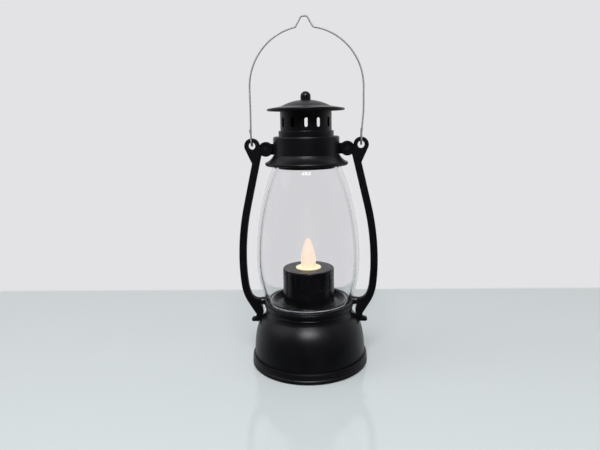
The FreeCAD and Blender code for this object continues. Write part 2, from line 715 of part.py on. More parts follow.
def make_base_foot():
    """Foot with two beads, floor, battery bay, screw wells, switch slot and door frame."""
    body = new_body("base_foot")
    ring_inside = dim.foot_radius - dim.foot_ring_width
    lip_outside = bowl_inside - dim.loose_gap
    lip_top = dim.foot_height + dim.lip_height
    revolve(body, "ring", [
        (0, dim.floor_rise),
        (ring_inside, dim.floor_rise),
        (ring_inside, 0),
        (dim.foot_radius, 0, dim.foot_bead_curve),
        (dim.foot_radius, dim.foot_bead_height, dim.foot_band_curve),
        (dim.foot_radius, dim.foot_height),
        (lip_outside, dim.foot_height),
        (lip_outside, lip_top),
        (lip_outside - dim.lip_thickness, lip_top),
        (lip_outside - dim.lip_thickness, floor_top),
        (0, floor_top),
    ])
    block = rectangle(as_size(0), as_size(0), bay_width + dim.bay_wall * 2, bay_length + dim.bay_wall * 2)
    extrude(body, outline(body, "bay", "XY_Plane", block, dim.floor_rise), "Pad", bay_roof - dim.floor_rise)
    wells = circles(body, "wells", "XY_Plane", foot_screw_places, dim.well_radius, dim.floor_rise)
    extrude(body, wells, "Pad", dim.well_top - dim.floor_rise)
    cavity = rectangle(as_size(0), as_size(0), bay_width, bay_length)
    cavity_sketch = outline(body, "cavity", "XY_Plane", cavity, dim.floor_rise)
    extrude(body, cavity_sketch, "Pocket", bay_ceiling - dim.floor_rise, backwards=True)
    clear = dim.door_gap * 2
    opening = rectangle(as_size(0), as_size(0), door_width + clear, door_length + clear)
    frame = outline(body, "door_frame", "XY_Plane", opening, dim.floor_rise)
    extrude(body, frame, "Pocket", frame_top - dim.floor_rise, backwards=True)
    hinge_place = [(hinge_along, hinge_level)]
    hinge_bore = dim.trunnion_radius + dim.slide_gap / 2
    hinge = circles(body, "hinge", "YZ_Plane", hinge_place, hinge_bore)
    hinge_span = door_width + dim.trunnion_length * 2 + clear
    extrude(body, hinge, "Pocket", hinge_span, both_ways=True)
    head_bore = dim.screw_head_radius + dim.loose_gap * 2
    well_depth = dim.well_top - dim.well_floor - dim.floor_rise
    sinks = circles(body, "head_wells", "XY_Plane", foot_screw_places, head_bore, dim.floor_rise)
    extrude(body, sinks, "Pocket", well_depth, backwards=True)
    shank_bore = dim.screw_radius + dim.loose_gap
    shanks = circles(body, "shank_holes", "XY_Plane", foot_screw_places, shank_bore, dim.floor_rise)
    extrude(body, shanks, "Pocket", dim.well_top - dim.floor_rise, backwards=True)
    slot_length = dim.stem_length + dim.switch_travel + dim.loose_gap * 2
    slot = rectangle(dim.switch_across, as_size(0), dim.stem_width + dim.loose_gap * 2, slot_length)
    slot_sketch = outline(body, "switch_slot", "XY_Plane", slot, dim.floor_rise)
    extrude(body, slot_sketch, "Pocket", dim.floor_thickness, backwards=True)
    for name, (across, side) in zip(("plus", "minus"), output_places):
        along = (contact_face - dim.contact_thickness / 2) * side
        slit_width = dim.tab_width + dim.loose_gap * 2
        slit = rectangle(across, along, slit_width, dim.contact_thickness + dim.slide_gap * 2)
        slit_sketch = outline(body, f"{name}_slit", "XY_Plane", slit, cell_level)
        extrude(body, slit_sketch, "Pocket", bay_roof - cell_level, backwards=True)


def make_battery_door():
    """Flat door with a rounded hinge edge, two trunnions, a spring latch and finger ridges."""
    body = new_body("battery_door")
    free_end = door_length / 2
    half = dim.door_thickness / 2
    profile = outline(body, "profile", "YZ_Plane", [
        (hinge_along, door_level),
        (free_end, door_level),
        (free_end, door_top),
        (hinge_along, door_top, half + dim.slide_gap / 100),
    ])
    extrude(body, profile, "Pad", door_width, both_ways=True)
    pins = circles(body, "trunnions", "YZ_Plane", [(hinge_along, hinge_level)], dim.trunnion_radius)
    extrude(body, pins, "Pad", door_width + dim.trunnion_length * 2, both_ways=True)
    slot_place = free_end - dim.latch_length / 2
    for name, side in (("right", 1), ("left", -1)):
        slot = rectangle(dim.latch_width / 2 * side, slot_place, dim.latch_slot, dim.latch_length)
        slot_sketch = outline(body, f"latch_{name}", "XY_Plane", slot, door_level)
        extrude(body, slot_sketch, "Pocket", dim.door_thickness, backwards=True)
    ridge_span = dim.latch_width - dim.latch_slot * 3
    for index in range(3):
        ridge_place = free_end - dim.ridge_pitch * (index + 1)
        ridge = rectangle(as_size(0), ridge_place, ridge_span, dim.ridge_width)
        ridge_sketch = outline(body, f"ridge_{index}", "XY_Plane", ridge, door_level - dim.ridge_height)
        extrude(body, ridge_sketch, "Pad", dim.ridge_height + half)


def make_cells():
    """Three cells, the middle one turned round, each touching its contacts at both ends."""
    nub_tip = contact_face - dim.contact_thickness - dim.slide_gap / 2
    body_end = nub_tip - dim.nub_height
    for label, column, side in (("left", -1, 1), ("middle", 0, -1), ("right", 1, 1)):
        body = new_body(f"battery_cell_{label}")
        revolve(body, "can", [
            (0, 0),
            (dim.cell_radius - dim.cell_edge, 0, dim.cell_edge),
            (dim.cell_radius, dim.cell_edge),
            (dim.cell_radius, dim.cell_length - dim.cell_edge, dim.cell_edge),
            (dim.cell_radius - dim.cell_edge, dim.cell_length),
            (dim.nub_radius, dim.cell_length),
            (dim.nub_radius, dim.cell_length + dim.nub_height),
            (0, dim.cell_length + dim.nub_height),
        ])
        along = (body_end - dim.cell_length) * side
        facing = Rotation(Vector(1, 0, 0), -90 * side)
        place(body, dim.cell_pitch * column, along, cell_level, facing)


def spring_shape():
    """A cone-shaped coil spring along +Z from the origin."""
    height = dim.spring_length.number - dim.spring_wire.number * 2 - dim.slide_gap.number
    wide = dim.spring_radius.number
    narrow = dim.spring_tip_radius.number
    pitch = height / dim.spring_turns.number
    lean = math.degrees(math.atan2(narrow - wide, height))
    coil = Part.makeLongHelix(pitch, height, wide, lean)
    start = coil.Edges[0].valueAt(coil.Edges[0].FirstParameter)
    heading = coil.Edges[0].tangentAt(coil.Edges[0].FirstParameter)
    section = Part.Wire([Part.makeCircle(dim.spring_wire.number, start, heading)])
    return Part.Wire(coil.Edges).makePipeShell([section], True, True)


def make_contacts():
    """Spring and plate contacts at both ends of the bay, with two solder tabs above the roof."""
    springs = []
    face = contact_face.number - dim.contact_thickness.number
    clear = dim.spring_wire.number + dim.slide_gap.number / 2
    for column, side in ((-1, -1), (0, 1), (1, -1)):
        spring = spring_shape()
        facing = Rotation(Vector(1, 0, 0), 90 * side)
        foot = Vector(dim.cell_pitch.number * column, (face - clear) * side, cell_level.number)
        spring.Placement = Placement(foot, facing)
        springs.append(spring)
    solid_part("contact_springs", Part.makeCompound(springs))
    low = cell_level - dim.contact_height / 2
    pair_width = dim.cell_pitch + dim.contact_width
    bridge_places = [(dim.cell_pitch / -2, 1), (dim.cell_pitch / 2, -1)]
    plates = []
    for index, (across, side) in enumerate(bridge_places):
        along = (contact_face - dim.contact_thickness / 2) * side
        size = (pair_width, dim.contact_thickness, dim.contact_height)
        plates.append(box(f"contact_bridge_{index}", across, along, low, *size))
    for index, (across, side) in enumerate(output_places):
        along = (contact_face - dim.contact_thickness / 2) * side
        size = (dim.contact_width, dim.contact_thickness, dim.contact_height)
        plate = box(f"contact_plate_{index}", across, along, low, *size)
        rise = bay_roof + dim.tab_rise - cell_level
        thickness = dim.contact_thickness
        tab = box(f"contact_tab_{index}", across, along, cell_level, dim.tab_width, thickness, rise)
        plates.append(fuse(f"contact_output_{index}", [plate, tab]))
    group("contact_plates", plates)


switch_rest = dim.switch_travel / 2
carriage_width = dim.switch_width - dim.switch_wall * 2 - dim.loose_gap * 2


def make_switch():
    """Slide switch on the floor: a housing with two terminals, and the slider with its knob."""
    body = new_body("switch_housing")
    shell = rectangle(dim.switch_across, as_size(0), dim.switch_width, dim.switch_length)
    extrude(body, outline(body, "shell", "XY_Plane", shell, floor_top), "Pad", dim.switch_height)
    room_length = dim.carriage_length + dim.switch_travel + dim.loose_gap * 4
    room = rectangle(dim.switch_across, as_size(0), dim.switch_width - dim.switch_wall * 2, room_length)
    room_sketch = outline(body, "room", "XY_Plane", room, floor_top)
    room_height = dim.carriage_height + dim.loose_gap * 2
    extrude(body, room_sketch, "Pocket", room_height, backwards=True)
    for name, side in (("front", -1), ("back", 1)):
        along = dim.terminal_pitch * side
        blade = rectangle(dim.switch_across, along, dim.terminal_thickness, dim.terminal_width)
        blade_sketch = outline(body, f"terminal_{name}", "XY_Plane", blade, floor_top + dim.switch_height)
        extrude(body, blade_sketch, "Pad", dim.terminal_height)
    slider = new_body("switch_slider")
    carriage = rectangle(dim.switch_across, switch_rest, carriage_width, dim.carriage_length)
    carriage_sketch = outline(slider, "carriage", "XY_Plane", carriage, floor_top + dim.loose_gap)
    extrude(slider, carriage_sketch, "Pad", dim.carriage_height)
    knob_top = dim.floor_rise - dim.loose_gap
    stem = rectangle(dim.switch_across, switch_rest, dim.stem_width, dim.stem_length)
    stem_sketch = outline(slider, "stem", "XY_Plane", stem, knob_top)
    extrude(slider, stem_sketch, "Pad", floor_top + dim.loose_gap * 2 - knob_top)
    knob = rectangle(dim.switch_across, switch_rest, dim.knob_width, dim.knob_length)
    knob_sketch = outline(slider, "knob", "XY_Plane", knob, knob_top - dim.knob_height)
    extrude(slider, knob_sketch, "Pad", dim.knob_height)
    knob_low = knob_top - dim.knob_height
    for index in (-1, 0, 1):
        groove_place = switch_rest + dim.ridge_pitch * index * 0.75
        groove = rectangle(dim.switch_across, groove_place, dim.knob_width, dim.ridge_width / 2)
        groove_sketch = outline(slider, f"groove_{index + 1}", "XY_Plane", groove, knob_low)
        extrude(slider, groove_sketch, "Pocket", dim.ridge_height, backwards=True)


def make_candle_plate():
    """Plate with a lip inside the globe, a raised ring around the candle and a hole for the leads."""
    body = new_body("candle_plate")
    outside = dim.plate_bore - dim.loose_gap
    lip_top = plate_top + dim.plate_lip_height
    ring_inside = dim.candle_radius + dim.loose_gap
    ring_outside = ring_inside + dim.plate_ring_width
    ring_top = plate_top + dim.plate_ring_height
    revolve(body, "dish", [
        (dim.lead_hole_radius, dim.ledge_height),
        (outside, dim.ledge_height),
        (outside, lip_top),
        (outside - dim.plate_lip_width, lip_top),
        (outside - dim.plate_lip_width, plate_top),
        (ring_outside, plate_top),
        (ring_outside, ring_top),
        (ring_inside, ring_top),
        (ring_inside, plate_top),
        (dim.lead_hole_radius, plate_top),
    ])
    hole = dim.screw_radius + dim.loose_gap
    holes = circles(body, "screw_holes", "XY_Plane", candle_screw_places, hole, plate_top)
    extrude(body, holes, "Pocket", dim.plate_thickness)


def make_candle_body():
    """Hollow candle with a seat for the flame, screw columns and posts for the board."""
    body = new_body("candle_body")
    inside = dim.candle_radius - dim.candle_wall
    seat = candle_top - dim.flame_flange_recess
    flange_bore = dim.flame_flange_radius + dim.loose_gap
    plug_bore = dim.flame_radius + dim.slide_gap
    revolve(body, "shell", [
        (inside, plate_top),
        (dim.candle_radius, plate_top),
        (dim.candle_radius, candle_top - dim.candle_edge, dim.candle_edge),
        (dim.candle_radius - dim.candle_edge, candle_top),
        (flange_bore, candle_top),
        (flange_bore, seat),
        (plug_bore, seat),
        (plug_bore, candle_under),
        (inside, candle_under),
    ])
    columns = circles(body, "columns", "XY_Plane", candle_screw_places, dim.candle_column_radius, plate_top)
    extrude(body, columns, "Pad", candle_under - plate_top)
    posts = circles(body, "posts", "XY_Plane", board_screw_places, dim.board_post_radius, board_top)
    extrude(body, posts, "Pad", candle_under - board_top)
    pilot = dim.screw_radius + dim.slide_gap
    column_pilots = circles(body, "column_pilots", "XY_Plane", candle_screw_places, pilot, plate_top)
    extrude(body, column_pilots, "Pocket", dim.small_screw_length, backwards=True)
    post_pilots = circles(body, "post_pilots", "XY_Plane", board_screw_places, pilot, board_top)
    extrude(body, post_pilots, "Pocket", dim.board_drop + dim.flame_flange_recess, backwards=True)


def make_flame():
    """Hollow flame with a disc at its foot and a plug below it."""
    body = new_body("flame_diffuser")
    seat = candle_top - dim.flame_flange_recess
    disc_top = seat + dim.flame_flange_edge
    upright_top = candle_top + dim.flame_upright
    tip = candle_top + dim.flame_height
    tip_middle = tip - dim.flame_tip_radius
    tip_across = dim.flame_tip_radius * cosine(dim.flame_lean)
    tip_start = tip_middle + dim.flame_tip_radius * sine(dim.flame_lean)
    plug_low = seat - dim.flame_plug_depth
    inside = dim.flame_radius - dim.flame_wall
    revolve(body, "section", [
        (inside, plug_low),
        (dim.flame_radius, plug_low),
        (dim.flame_radius, seat),
        (dim.flame_flange_radius, seat),
        (dim.flame_flange_radius, disc_top),
        (dim.flame_radius + dim.flame_root_curve, disc_top, -dim.flame_root_curve),
        (dim.flame_radius, disc_top + dim.flame_root_curve),
        (dim.flame_radius, upright_top, dim.flame_side_curve),
        (tip_across, tip_start, dim.flame_tip_radius),
        (0, tip),
        (0, tip_middle - dim.flame_wall * 2),
        (inside, upright_top),
    ])


def make_light():
    """Light inside the flame, the board that carries it and the resistor."""
    light = new_body("led")
    low = board_top + dim.led_leg_length
    dome = low + dim.led_height - dim.led_radius
    revolve(light, "lens", [
        (0, low),
        (dim.led_flange_radius, low),
        (dim.led_flange_radius, low + dim.led_flange_height),
        (dim.led_radius, low + dim.led_flange_height),
        (dim.led_radius, dome, dim.led_radius),
        (0, dome + dim.led_radius),
    ])
    for name, side in (("plus", 1), ("minus", -1)):
        leg = rectangle(dim.led_leg_pitch / 2 * side, as_size(0), dim.led_leg_width, dim.led_leg_width)
        leg_sketch = outline(light, f"leg_{name}", "XY_Plane", leg, board_top)
        extrude(light, leg_sketch, "Pad", dim.led_leg_length + dim.led_flange_height / 2)
    board = new_body("circuit_board")
    panel = rectangle(as_size(0), as_size(0), dim.board_length, dim.board_width)
    extrude(board, outline(board, "panel", "XY_Plane", panel, board_under), "Pad", dim.board_thickness)
    hole = dim.screw_radius + dim.loose_gap
    holes = circles(board, "screw_holes", "XY_Plane", board_screw_places, hole, board_top)
    extrude(board, holes, "Pocket", dim.board_thickness)
    resistor_sides = (dim.resistor_width, dim.resistor_length, dim.resistor_height)
    resistor = box("resistor", dim.resistor_place, 0, board_top, *resistor_sides)
    parts.append(resistor)


def make_screws():
    """Screws of the foot, the candle and the board, each kind in one node."""
    foot_level = dim.well_top - dim.well_floor
    sets = (
        ("foot_screws", foot_screw_places, foot_level, dim.foot_screw_length),
        ("candle_screws", candle_screw_places, dim.ledge_height, dim.small_screw_length),
        ("board_screws", board_screw_places, board_under, dim.board_thickness + dim.board_drop),
    )
    for label, places, level, length in sets:
        screws = []
        for index, (x, y) in enumerate(places):
            screws.append(screw(f"{label}_{index}", as_size(x), as_size(y), level, length))
        group(label, screws)


def make_globe():
    """Barrel-shaped clear globe, open at both ends."""
    body = new_body("globe")
    low_curve = dim.globe_low_curve
    high_curve = dim.globe_high_curve
    rise = dim.globe_top_height - dim.globe_wide_height
    drop = dim.globe_wide_height - dim.seat_height
    inner_low = low_curve - dim.globe_wall
    inner_high = high_curve - dim.globe_wall
    low_centre = dim.globe_radius - low_curve
    revolve(body, "wall", [
        (low_centre + root(inner_low * inner_low - drop * drop), dim.seat_height),
        (globe_low_radius(dim.seat_height), dim.seat_height, low_curve),
        (dim.globe_radius, dim.globe_wide_height, high_curve),
        (dim.globe_radius - high_curve + root(high_curve * high_curve - rise * rise), dim.globe_top_height),
        (globe_mouth(), dim.globe_top_height, -inner_high),
        (dim.globe_radius - dim.globe_wall, dim.globe_wide_height, -inner_low),
    ])


def globe_mouth():
    """Inner radius of the globe at its top."""
    rise = dim.globe_top_height - dim.globe_wide_height
    inner_curve = dim.globe_high_curve - dim.globe_wall
    return dim.globe_radius - dim.globe_high_curve + root(inner_curve * inner_curve - rise * rise)


collar_bore = dim.band_radius - dim.band_wall + dim.band_plug_wall / 4


def make_cap_collar():
    """Collar with a flared skirt, a sleeve inside the globe's mouth and a lug at each side."""
    body = new_body("cap_collar")
    sleeve = globe_mouth() - dim.spigot_gap
    mouth = dim.globe_top_height
    lip_middle = mouth - dim.skirt_drop
    roof_under = dim.collar_top - dim.collar_wall
    inside = dim.collar_radius - dim.collar_wall
    skirt_inside = dim.collar_radius + dim.collar_wall / 2
    revolve(body, "section", [
        (sleeve - dim.spigot_wall, mouth - dim.spigot_depth),
        (sleeve, mouth - dim.spigot_depth),
        (sleeve, mouth),
        (skirt_inside, mouth),
        (dim.skirt_radius, lip_middle - dim.skirt_lip, dim.skirt_lip),
        (dim.skirt_radius + dim.skirt_lip, lip_middle, dim.skirt_lip),
        (dim.skirt_radius, lip_middle + dim.skirt_lip, -dim.skirt_curve),
        (dim.collar_radius, mouth + dim.skirt_rise),
        (dim.collar_radius, dim.collar_top - dim.collar_edge, dim.collar_edge),
        (dim.collar_radius - dim.collar_edge, dim.collar_top),
        (collar_bore + dim.slide_gap, dim.collar_top),
        (collar_bore + dim.slide_gap, roof_under),
        (inside, roof_under),
        (inside, mouth + dim.collar_wall),
        (sleeve - dim.spigot_wall, mouth + dim.collar_wall),
    ])
    lug_radius = dim.knuckle_radius - dim.lug_margin
    lug_root = dim.collar_radius - dim.collar_wall / 2
    high = dim.knuckle_height + lug_radius
    low = dim.knuckle_height - lug_radius
    lug = extrude(body, outline(body, "lug", "XZ_Plane", [
        (lug_root, low),
        (dim.knuckle_across, low, lug_radius),
        (dim.knuckle_across + lug_radius, dim.knuckle_height, lug_radius),
        (dim.knuckle_across, high),
        (lug_root, high),
    ]), "Pad", dim.lug_thickness, both_ways=True)
    mirror(body, [lug], "YZ_Plane")
    pin_places = [(dim.knuckle_across, dim.knuckle_height), (-dim.knuckle_across, dim.knuckle_height)]
    holes = circles(body, "pin_holes", "XZ_Plane", pin_places, dim.pin_radius + dim.slide_gap)
    extrude(body, holes, "Pocket", dim.lug_thickness * 2, both_ways=True)


def make_vent_band():
    """Slotted band with a step ring at its foot and a plug below it."""
    body = new_body("vent_band")
    inside = dim.band_radius - dim.band_wall
    plug_inside = collar_bore - dim.band_plug_wall
    step_top = dim.collar_top + dim.step_height
    plug_low = dim.collar_top - dim.band_plug_depth
    inner_step = dim.collar_top + dim.step_height / 2
    revolve(body, "wall", [
        (plug_inside, plug_low),
        (collar_bore, plug_low),
        (collar_bore, dim.collar_top),
        (dim.step_radius, dim.collar_top),
        (dim.step_radius, step_top - dim.step_edge, dim.step_edge),
        (dim.step_radius - dim.step_edge, step_top),
        (dim.band_radius, step_top),
        (dim.band_radius, dim.band_top),
        (inside, dim.band_top),
        (inside, inner_step),
        (plug_inside, inner_step),
    ])
    half = dim.vent_width / 2
    straight = (dim.vent_length - dim.vent_width) / 2
    low = dim.vent_middle - straight
    high = dim.vent_middle + straight
    slot = outline(body, "vent", "XZ_Plane", [
        (-half, low, half),
        (0, low - half, half),
        (half, low),
        (half, high, half),
        (0, high + half, half),
        (-half, high),
    ], dim.band_radius + dim.band_wall)
    vent = extrude(body, slot, "Pocket", dim.band_wall * 3)
    ring = body.newObject("PartDesign::PolarPattern", "vents")
    ring.Originals = [vent]
    ring.Axis = ([item for item in body.Origin.OriginFeatures if item.Role == "Z_Axis"][0], [""])
    ring.Angle = 360
    bind(ring, "Occurrences", dim.vent_count)
    body.Tip = ring
    place(body, rotation=Rotation(Vector(0, 0, 1), dim.vent_turn.number))
    bind(body, "Placement.Rotation.Angle", dim.vent_turn)
    doc.recompute()


def make_lid():
    """Domed lid with a thin brim, a button on top and a plug inside the band."""
    body = new_body("lid")
    seat = dim.band_top
    plug = dim.band_radius - dim.band_wall - dim.slide_gap
    plug_inside = plug - dim.lid_plug_wall
    dome_foot = seat + dim.dome_rise
    outer = dim.dome_curve
    inner = dim.dome_curve - dim.dome_wall
    centre = dome_foot - root(outer * outer - dim.dome_radius * dim.dome_radius)
    edge_across = dim.brim_radius - dim.brim_edge
    edge_low = seat + dim.brim_lift
    button_middle = seat + dim.button_height - dim.button_radius
    revolve(body, "section", [
        (0, centre + inner, -inner),
        (plug_inside, centre + root(inner * inner - plug_inside * plug_inside)),
        (plug_inside, seat - dim.lid_plug_depth),
        (plug, seat - dim.lid_plug_depth),
        (plug, seat),
        (dim.band_radius, seat),
        (edge_across, edge_low, dim.brim_edge),
        (edge_across, edge_low + dim.brim_thickness),
        (dim.dome_radius, dome_foot, outer),
        (dim.button_radius, centre + root(outer * outer - dim.button_radius * dim.button_radius)),
        (dim.button_radius, button_middle, dim.button_radius),
        (0, button_middle + dim.button_radius),
    ])


def arm_outline(side):
    """Side view of an arm: eyelet head, bowed limb, peg web, foot along the bowl and toe."""
    half = dim.arm_width / 2
    lean_sine = sine(dim.arm_high_angle)
    lean_cosine = cosine(dim.arm_high_angle)
    high_centre = dim.arm_reach - dim.arm_high_curve
    low_centre = dim.arm_reach - dim.arm_low_curve
    outer_high = dim.arm_high_curve + half
    inner_high = dim.arm_high_curve - half
    outer_low = dim.arm_low_curve + half
    inner_low = dim.arm_low_curve - half
    line_rise = dim.neck_height - dim.arm_reach_height
    line_slope = lean_sine / lean_cosine
    middle_at_neck = high_centre + dim.arm_high_curve / lean_cosine - line_rise * line_slope
    outer_neck = middle_at_neck + half / lean_cosine
    inner_top = dim.knuckle_height - (dim.knuckle_height - dim.neck_height) / 2
    inner_top_across = middle_at_neck - half / lean_cosine - (inner_top - dim.neck_height) * line_slope
    peg_top = dim.peg_height + dim.peg_radius
    peg_low = dim.peg_height - dim.peg_radius
    # The lower bend runs on from the lower arc.
    bend_sine = (dim.arm_reach_height - dim.arm_bend_height) / dim.arm_low_curve
    bend_cosine = root(1 - bend_sine * bend_sine)
    bend_across = low_centre + (dim.arm_low_curve - dim.arm_bend_curve) * bend_cosine
    bend_level = dim.arm_reach_height - (dim.arm_low_curve - dim.arm_bend_curve) * bend_sine
    outer_bend = dim.arm_bend_curve + half
    inner_bend = dim.arm_bend_curve - half
    # The hollow over the peg touches the inner edge and ends level with the peg's top.
    web_reach = inner_bend - dim.web_curve
    web_drop = bend_level - peg_top - dim.web_curve
    web_run = root(web_reach * web_reach - web_drop * web_drop)
    web_stretch = inner_bend / web_reach
    # The shin runs straight on from the bend, into the hollow over the toe.
    shin_sine = sine(dim.shin_lean)
    shin_cosine = cosine(dim.shin_lean)
    shin_across = bend_across + outer_bend * shin_cosine
    shin_level = bend_level - outer_bend * shin_sine
    toe_top = dim.toe_height + dim.toe_radius
    toe_low = dim.toe_height - dim.toe_radius
    ankle_height = toe_top + dim.ankle_curve * (1 + shin_sine)
    ankle_across = shin_across - (shin_level - ankle_height) * shin_sine / shin_cosine
    toe_across = ankle_across + dim.ankle_curve * shin_cosine
    foot_curve = shoulder_curve + dim.skin_gap
    corners = [
        (outer_neck, dim.neck_height),
        (dim.eyelet_across + dim.eyelet_radius * 0.97, dim.eyelet_height - dim.eyelet_radius * 0.24),
        (dim.eyelet_across, dim.eyelet_height),
        (dim.knuckle_across, dim.knuckle_height + dim.knuckle_radius * 0.4),
        (dim.knuckle_across, dim.knuckle_height),
        (inner_top_across, inner_top),
        (high_centre + inner_high * lean_cosine, dim.arm_reach_height + inner_high * lean_sine, -inner_high),
        (dim.arm_reach - half, dim.arm_reach_height, -inner_low),
        (low_centre + inner_low * bend_cosine, dim.arm_reach_height - inner_low * bend_sine, -inner_bend),
        (bend_across + web_run * web_stretch, bend_level - web_drop * web_stretch, -dim.web_curve),
        (bend_across + web_run, peg_top),
        (dim.slit_across, peg_low, dim.slit_curve),
        (shoulder_radius(dim.foot_top, dim.skin_gap), dim.foot_top, -foot_curve),
        (shoulder_radius(toe_low, dim.skin_gap), toe_low),
        (toe_across, toe_low, dim.toe_radius),
        (toe_across + dim.toe_radius, dim.toe_height, dim.toe_radius),
        (toe_across, toe_top, -dim.ankle_curve),
        (ankle_across, ankle_height),
        (shin_across, shin_level, outer_bend),
        (low_centre + outer_low * bend_cosine, dim.arm_reach_height - outer_low * bend_sine, outer_low),
        (dim.arm_reach + half, dim.arm_reach_height, outer_high),
        (high_centre + outer_high * lean_cosine, dim.arm_reach_height + outer_high * lean_sine),
    ]
    if side > 0:
        return corners
    return [(-corner[0], corner[1], *[-bend for bend in corner[2:]]) for corner in corners]


# Outline edges of the limb that are rounded: below the knuckle to the peg, and from the toe to the eyelet
inner_edge = [5, 6, 7, 8, 9]
outer_edge = [13, 14, 15, 16, 17, 18, 19, 20, 21]


def make_arm(label, side):
    """One arm: limb, eyelet and knuckle on one plane, a fork over the collar's lug, and the peg."""
    body = new_body(label)
    half = dim.arm_depth / 2
    edge = dim.arm_edge
    limb = outline(body, "limb", "XZ_Plane", arm_outline(side))
    pad = extrude(body, limb, "Pad", dim.arm_depth, both_ways=True)
    round_outline(body, pad, limb, inner_edge + outer_edge, edge)
    eyelet = (dim.eyelet_across * side, dim.eyelet_height)
    knuckle = (dim.knuckle_across * side, dim.knuckle_height)
    discs = (("eyelet", eyelet, dim.eyelet_radius), ("knuckle", knuckle, dim.knuckle_radius))
    for name, centre, radius in discs:
        turn_about(body, name, *centre, [
            (0, -half),
            (radius - edge, -half, edge),
            (radius, edge - half),
            (radius, half - edge, edge),
            (radius - edge, half),
            (0, half),
        ])
    soft = edge / 2
    turn_about(body, "eyelet_bore", *eyelet, [
        (0, -half),
        (dim.eyelet_bore + soft, -half, -soft),
        (dim.eyelet_bore, soft - half),
        (dim.eyelet_bore, half - soft, -soft),
        (dim.eyelet_bore + soft, half),
        (0, half),
    ], "Groove")
    dish_radius = dim.knuckle_radius - dim.knuckle_rim
    dish_level = half - dim.knuckle_dish
    for name, face in (("front", -1), ("back", 1)):
        turn_about(body, f"dish_{name}", *knuckle, [
            (0, half * face),
            (dish_radius, half * face),
            (dish_radius - dim.knuckle_dish, dish_level * face),
            (0, dish_level * face),
        ], "Groove")
    pins = circles(body, "pin_hole", "XZ_Plane", [knuckle], dim.pin_radius + dim.slide_gap / 2)
    extrude(body, pins, "Pocket", dim.arm_depth * 2, both_ways=True)
    fork = circles(body, "fork", "XZ_Plane", [knuckle], dim.knuckle_radius + dim.loose_gap)
    extrude(body, fork, "Pocket", dim.lug_thickness + dim.slide_gap * 2, both_ways=True)
    peg = circles(body, "peg", "YZ_Plane", [(0, dim.peg_height)], dim.peg_radius, dim.peg_end * side)
    peg_length = dim.slit_across + dim.arm_width / 2 - dim.peg_end
    extrude(body, peg, "Pad", peg_length, backwards=side < 0)


def make_knuckle_pins():
    """One pin through each knuckle, a little below the arm's faces."""
    length = dim.arm_depth - dim.pin_recess * 2
    lying = Rotation(Vector(1, 0, 0), 90)
    pins = []
    for name, side in (("left", -1), ("right", 1)):
        across = dim.knuckle_across * side
        middle = (across, length / 2, dim.knuckle_height)
        pins.append(cylinder(f"pin_{name}", dim.pin_radius, length, *middle, lying))
    group("knuckle_pins", pins)


pivot_level = dim.eyelet_height + (dim.eyelet_radius + dim.eyelet_bore) / 2


def bail_side(side, bow_side, stub_side):
    """Corners of one half of the bail, from the end of its hook to the flat of the peak."""
    across = dim.eyelet_across.number
    pivot = pivot_level.number
    hook = dim.hook_radius.number
    leg_low = pivot + dim.hook_rise.number
    leg_bend = dim.leg_curve.number
    foot_across = dim.peak_width.number / 2
    foot_level = dim.peak_foot_height.number
    peak_bend = dim.peak_curve.number
    # The bow is upright at the leg and passes through the foot of the peak.
    run = bow_side - foot_across
    rise = foot_level - dim.bow_height.number
    bow = (run * run + rise * rise) / (2 * run)
    half_angle = math.atan2(rise, bow - run) / 2
    corners = [
        (stub_side, hook, pivot + dim.stub_rise.number, 0),
        (across, hook, pivot - hook, hook),
        (across, -hook, pivot - hook, hook),
        (across, -hook, leg_low, leg_bend),
        (bow_side, -hook, dim.bow_height.number - leg_bend, leg_bend),
        (bow_side, -hook, dim.bow_height.number + bow * math.tan(half_angle), bow - peak_bend),
        (foot_across, -hook, foot_level, peak_bend),
        (dim.peak_flat.number / 2, -hook, dim.peak_height.number, peak_bend),
    ]
    return [(Vector(x * side, y, z), bend) for x, y, z, bend in corners]


def make_bail():
    """Wire bail: hook end, bend round the eyelet, leg, bow, peak, and the same again."""
    right = bail_side(1, dim.bow_right.number, dim.stub_right.number)
    left = bail_side(-1, dim.bow_left.number, dim.stub_left.number)
    path = turn_path(right + left[::-1])
    solid_part("bail", wire_solid(path, dim.wire_radius.number))


def make_leads():
    """Leads from the cells to the switch, from the switch to the board, and back."""
    tab_top = (bay_roof + dim.tab_rise).number
    terminal_top = (floor_top + dim.switch_height + dim.terminal_height).number
    bend = dim.lead_bend.number
    spread = dim.lead_spread.number
    board_face = board_under.number - dim.slide_gap.number
    crossing = (dim.ledge_height - dim.ledge_thickness).number - bend
    tabs = []
    for across, side in output_places:
        along = (contact_face - dim.contact_thickness / 2).number * side
        tabs.append(Vector(across.number, along, tab_top + dim.slide_gap.number))
    switch_x = dim.switch_across.number
    pitch = dim.terminal_pitch.number
    gap = dim.slide_gap.number
    terminals = [Vector(switch_x, pitch * side, terminal_top + gap) for side in (1, -1)]
    up = Vector(0, 0, 1)
    routes = {
        "supply_lead": [
            tabs[0],
            tabs[0] + up * (bend * 1.5),
            terminals[0] + up * (tabs[0].z - terminals[0].z + bend * 1.5),
            terminals[0],
        ],
        "switch_lead": [
            terminals[1],
            Vector(terminals[1].x, terminals[1].y, crossing),
            Vector(spread, 0, crossing),
            Vector(spread, 0, board_face),
        ],
        "return_lead": [
            tabs[1],
            Vector(tabs[1].x, tabs[1].y, crossing),
            Vector(-spread, 0, crossing),
            Vector(-spread, 0, board_face),
        ],
    }
    for label, points in routes.items():
        path = turn_path([(point, bend) for point in points])
        solid_part(label, wire_solid(path, dim.lead_radius.number))


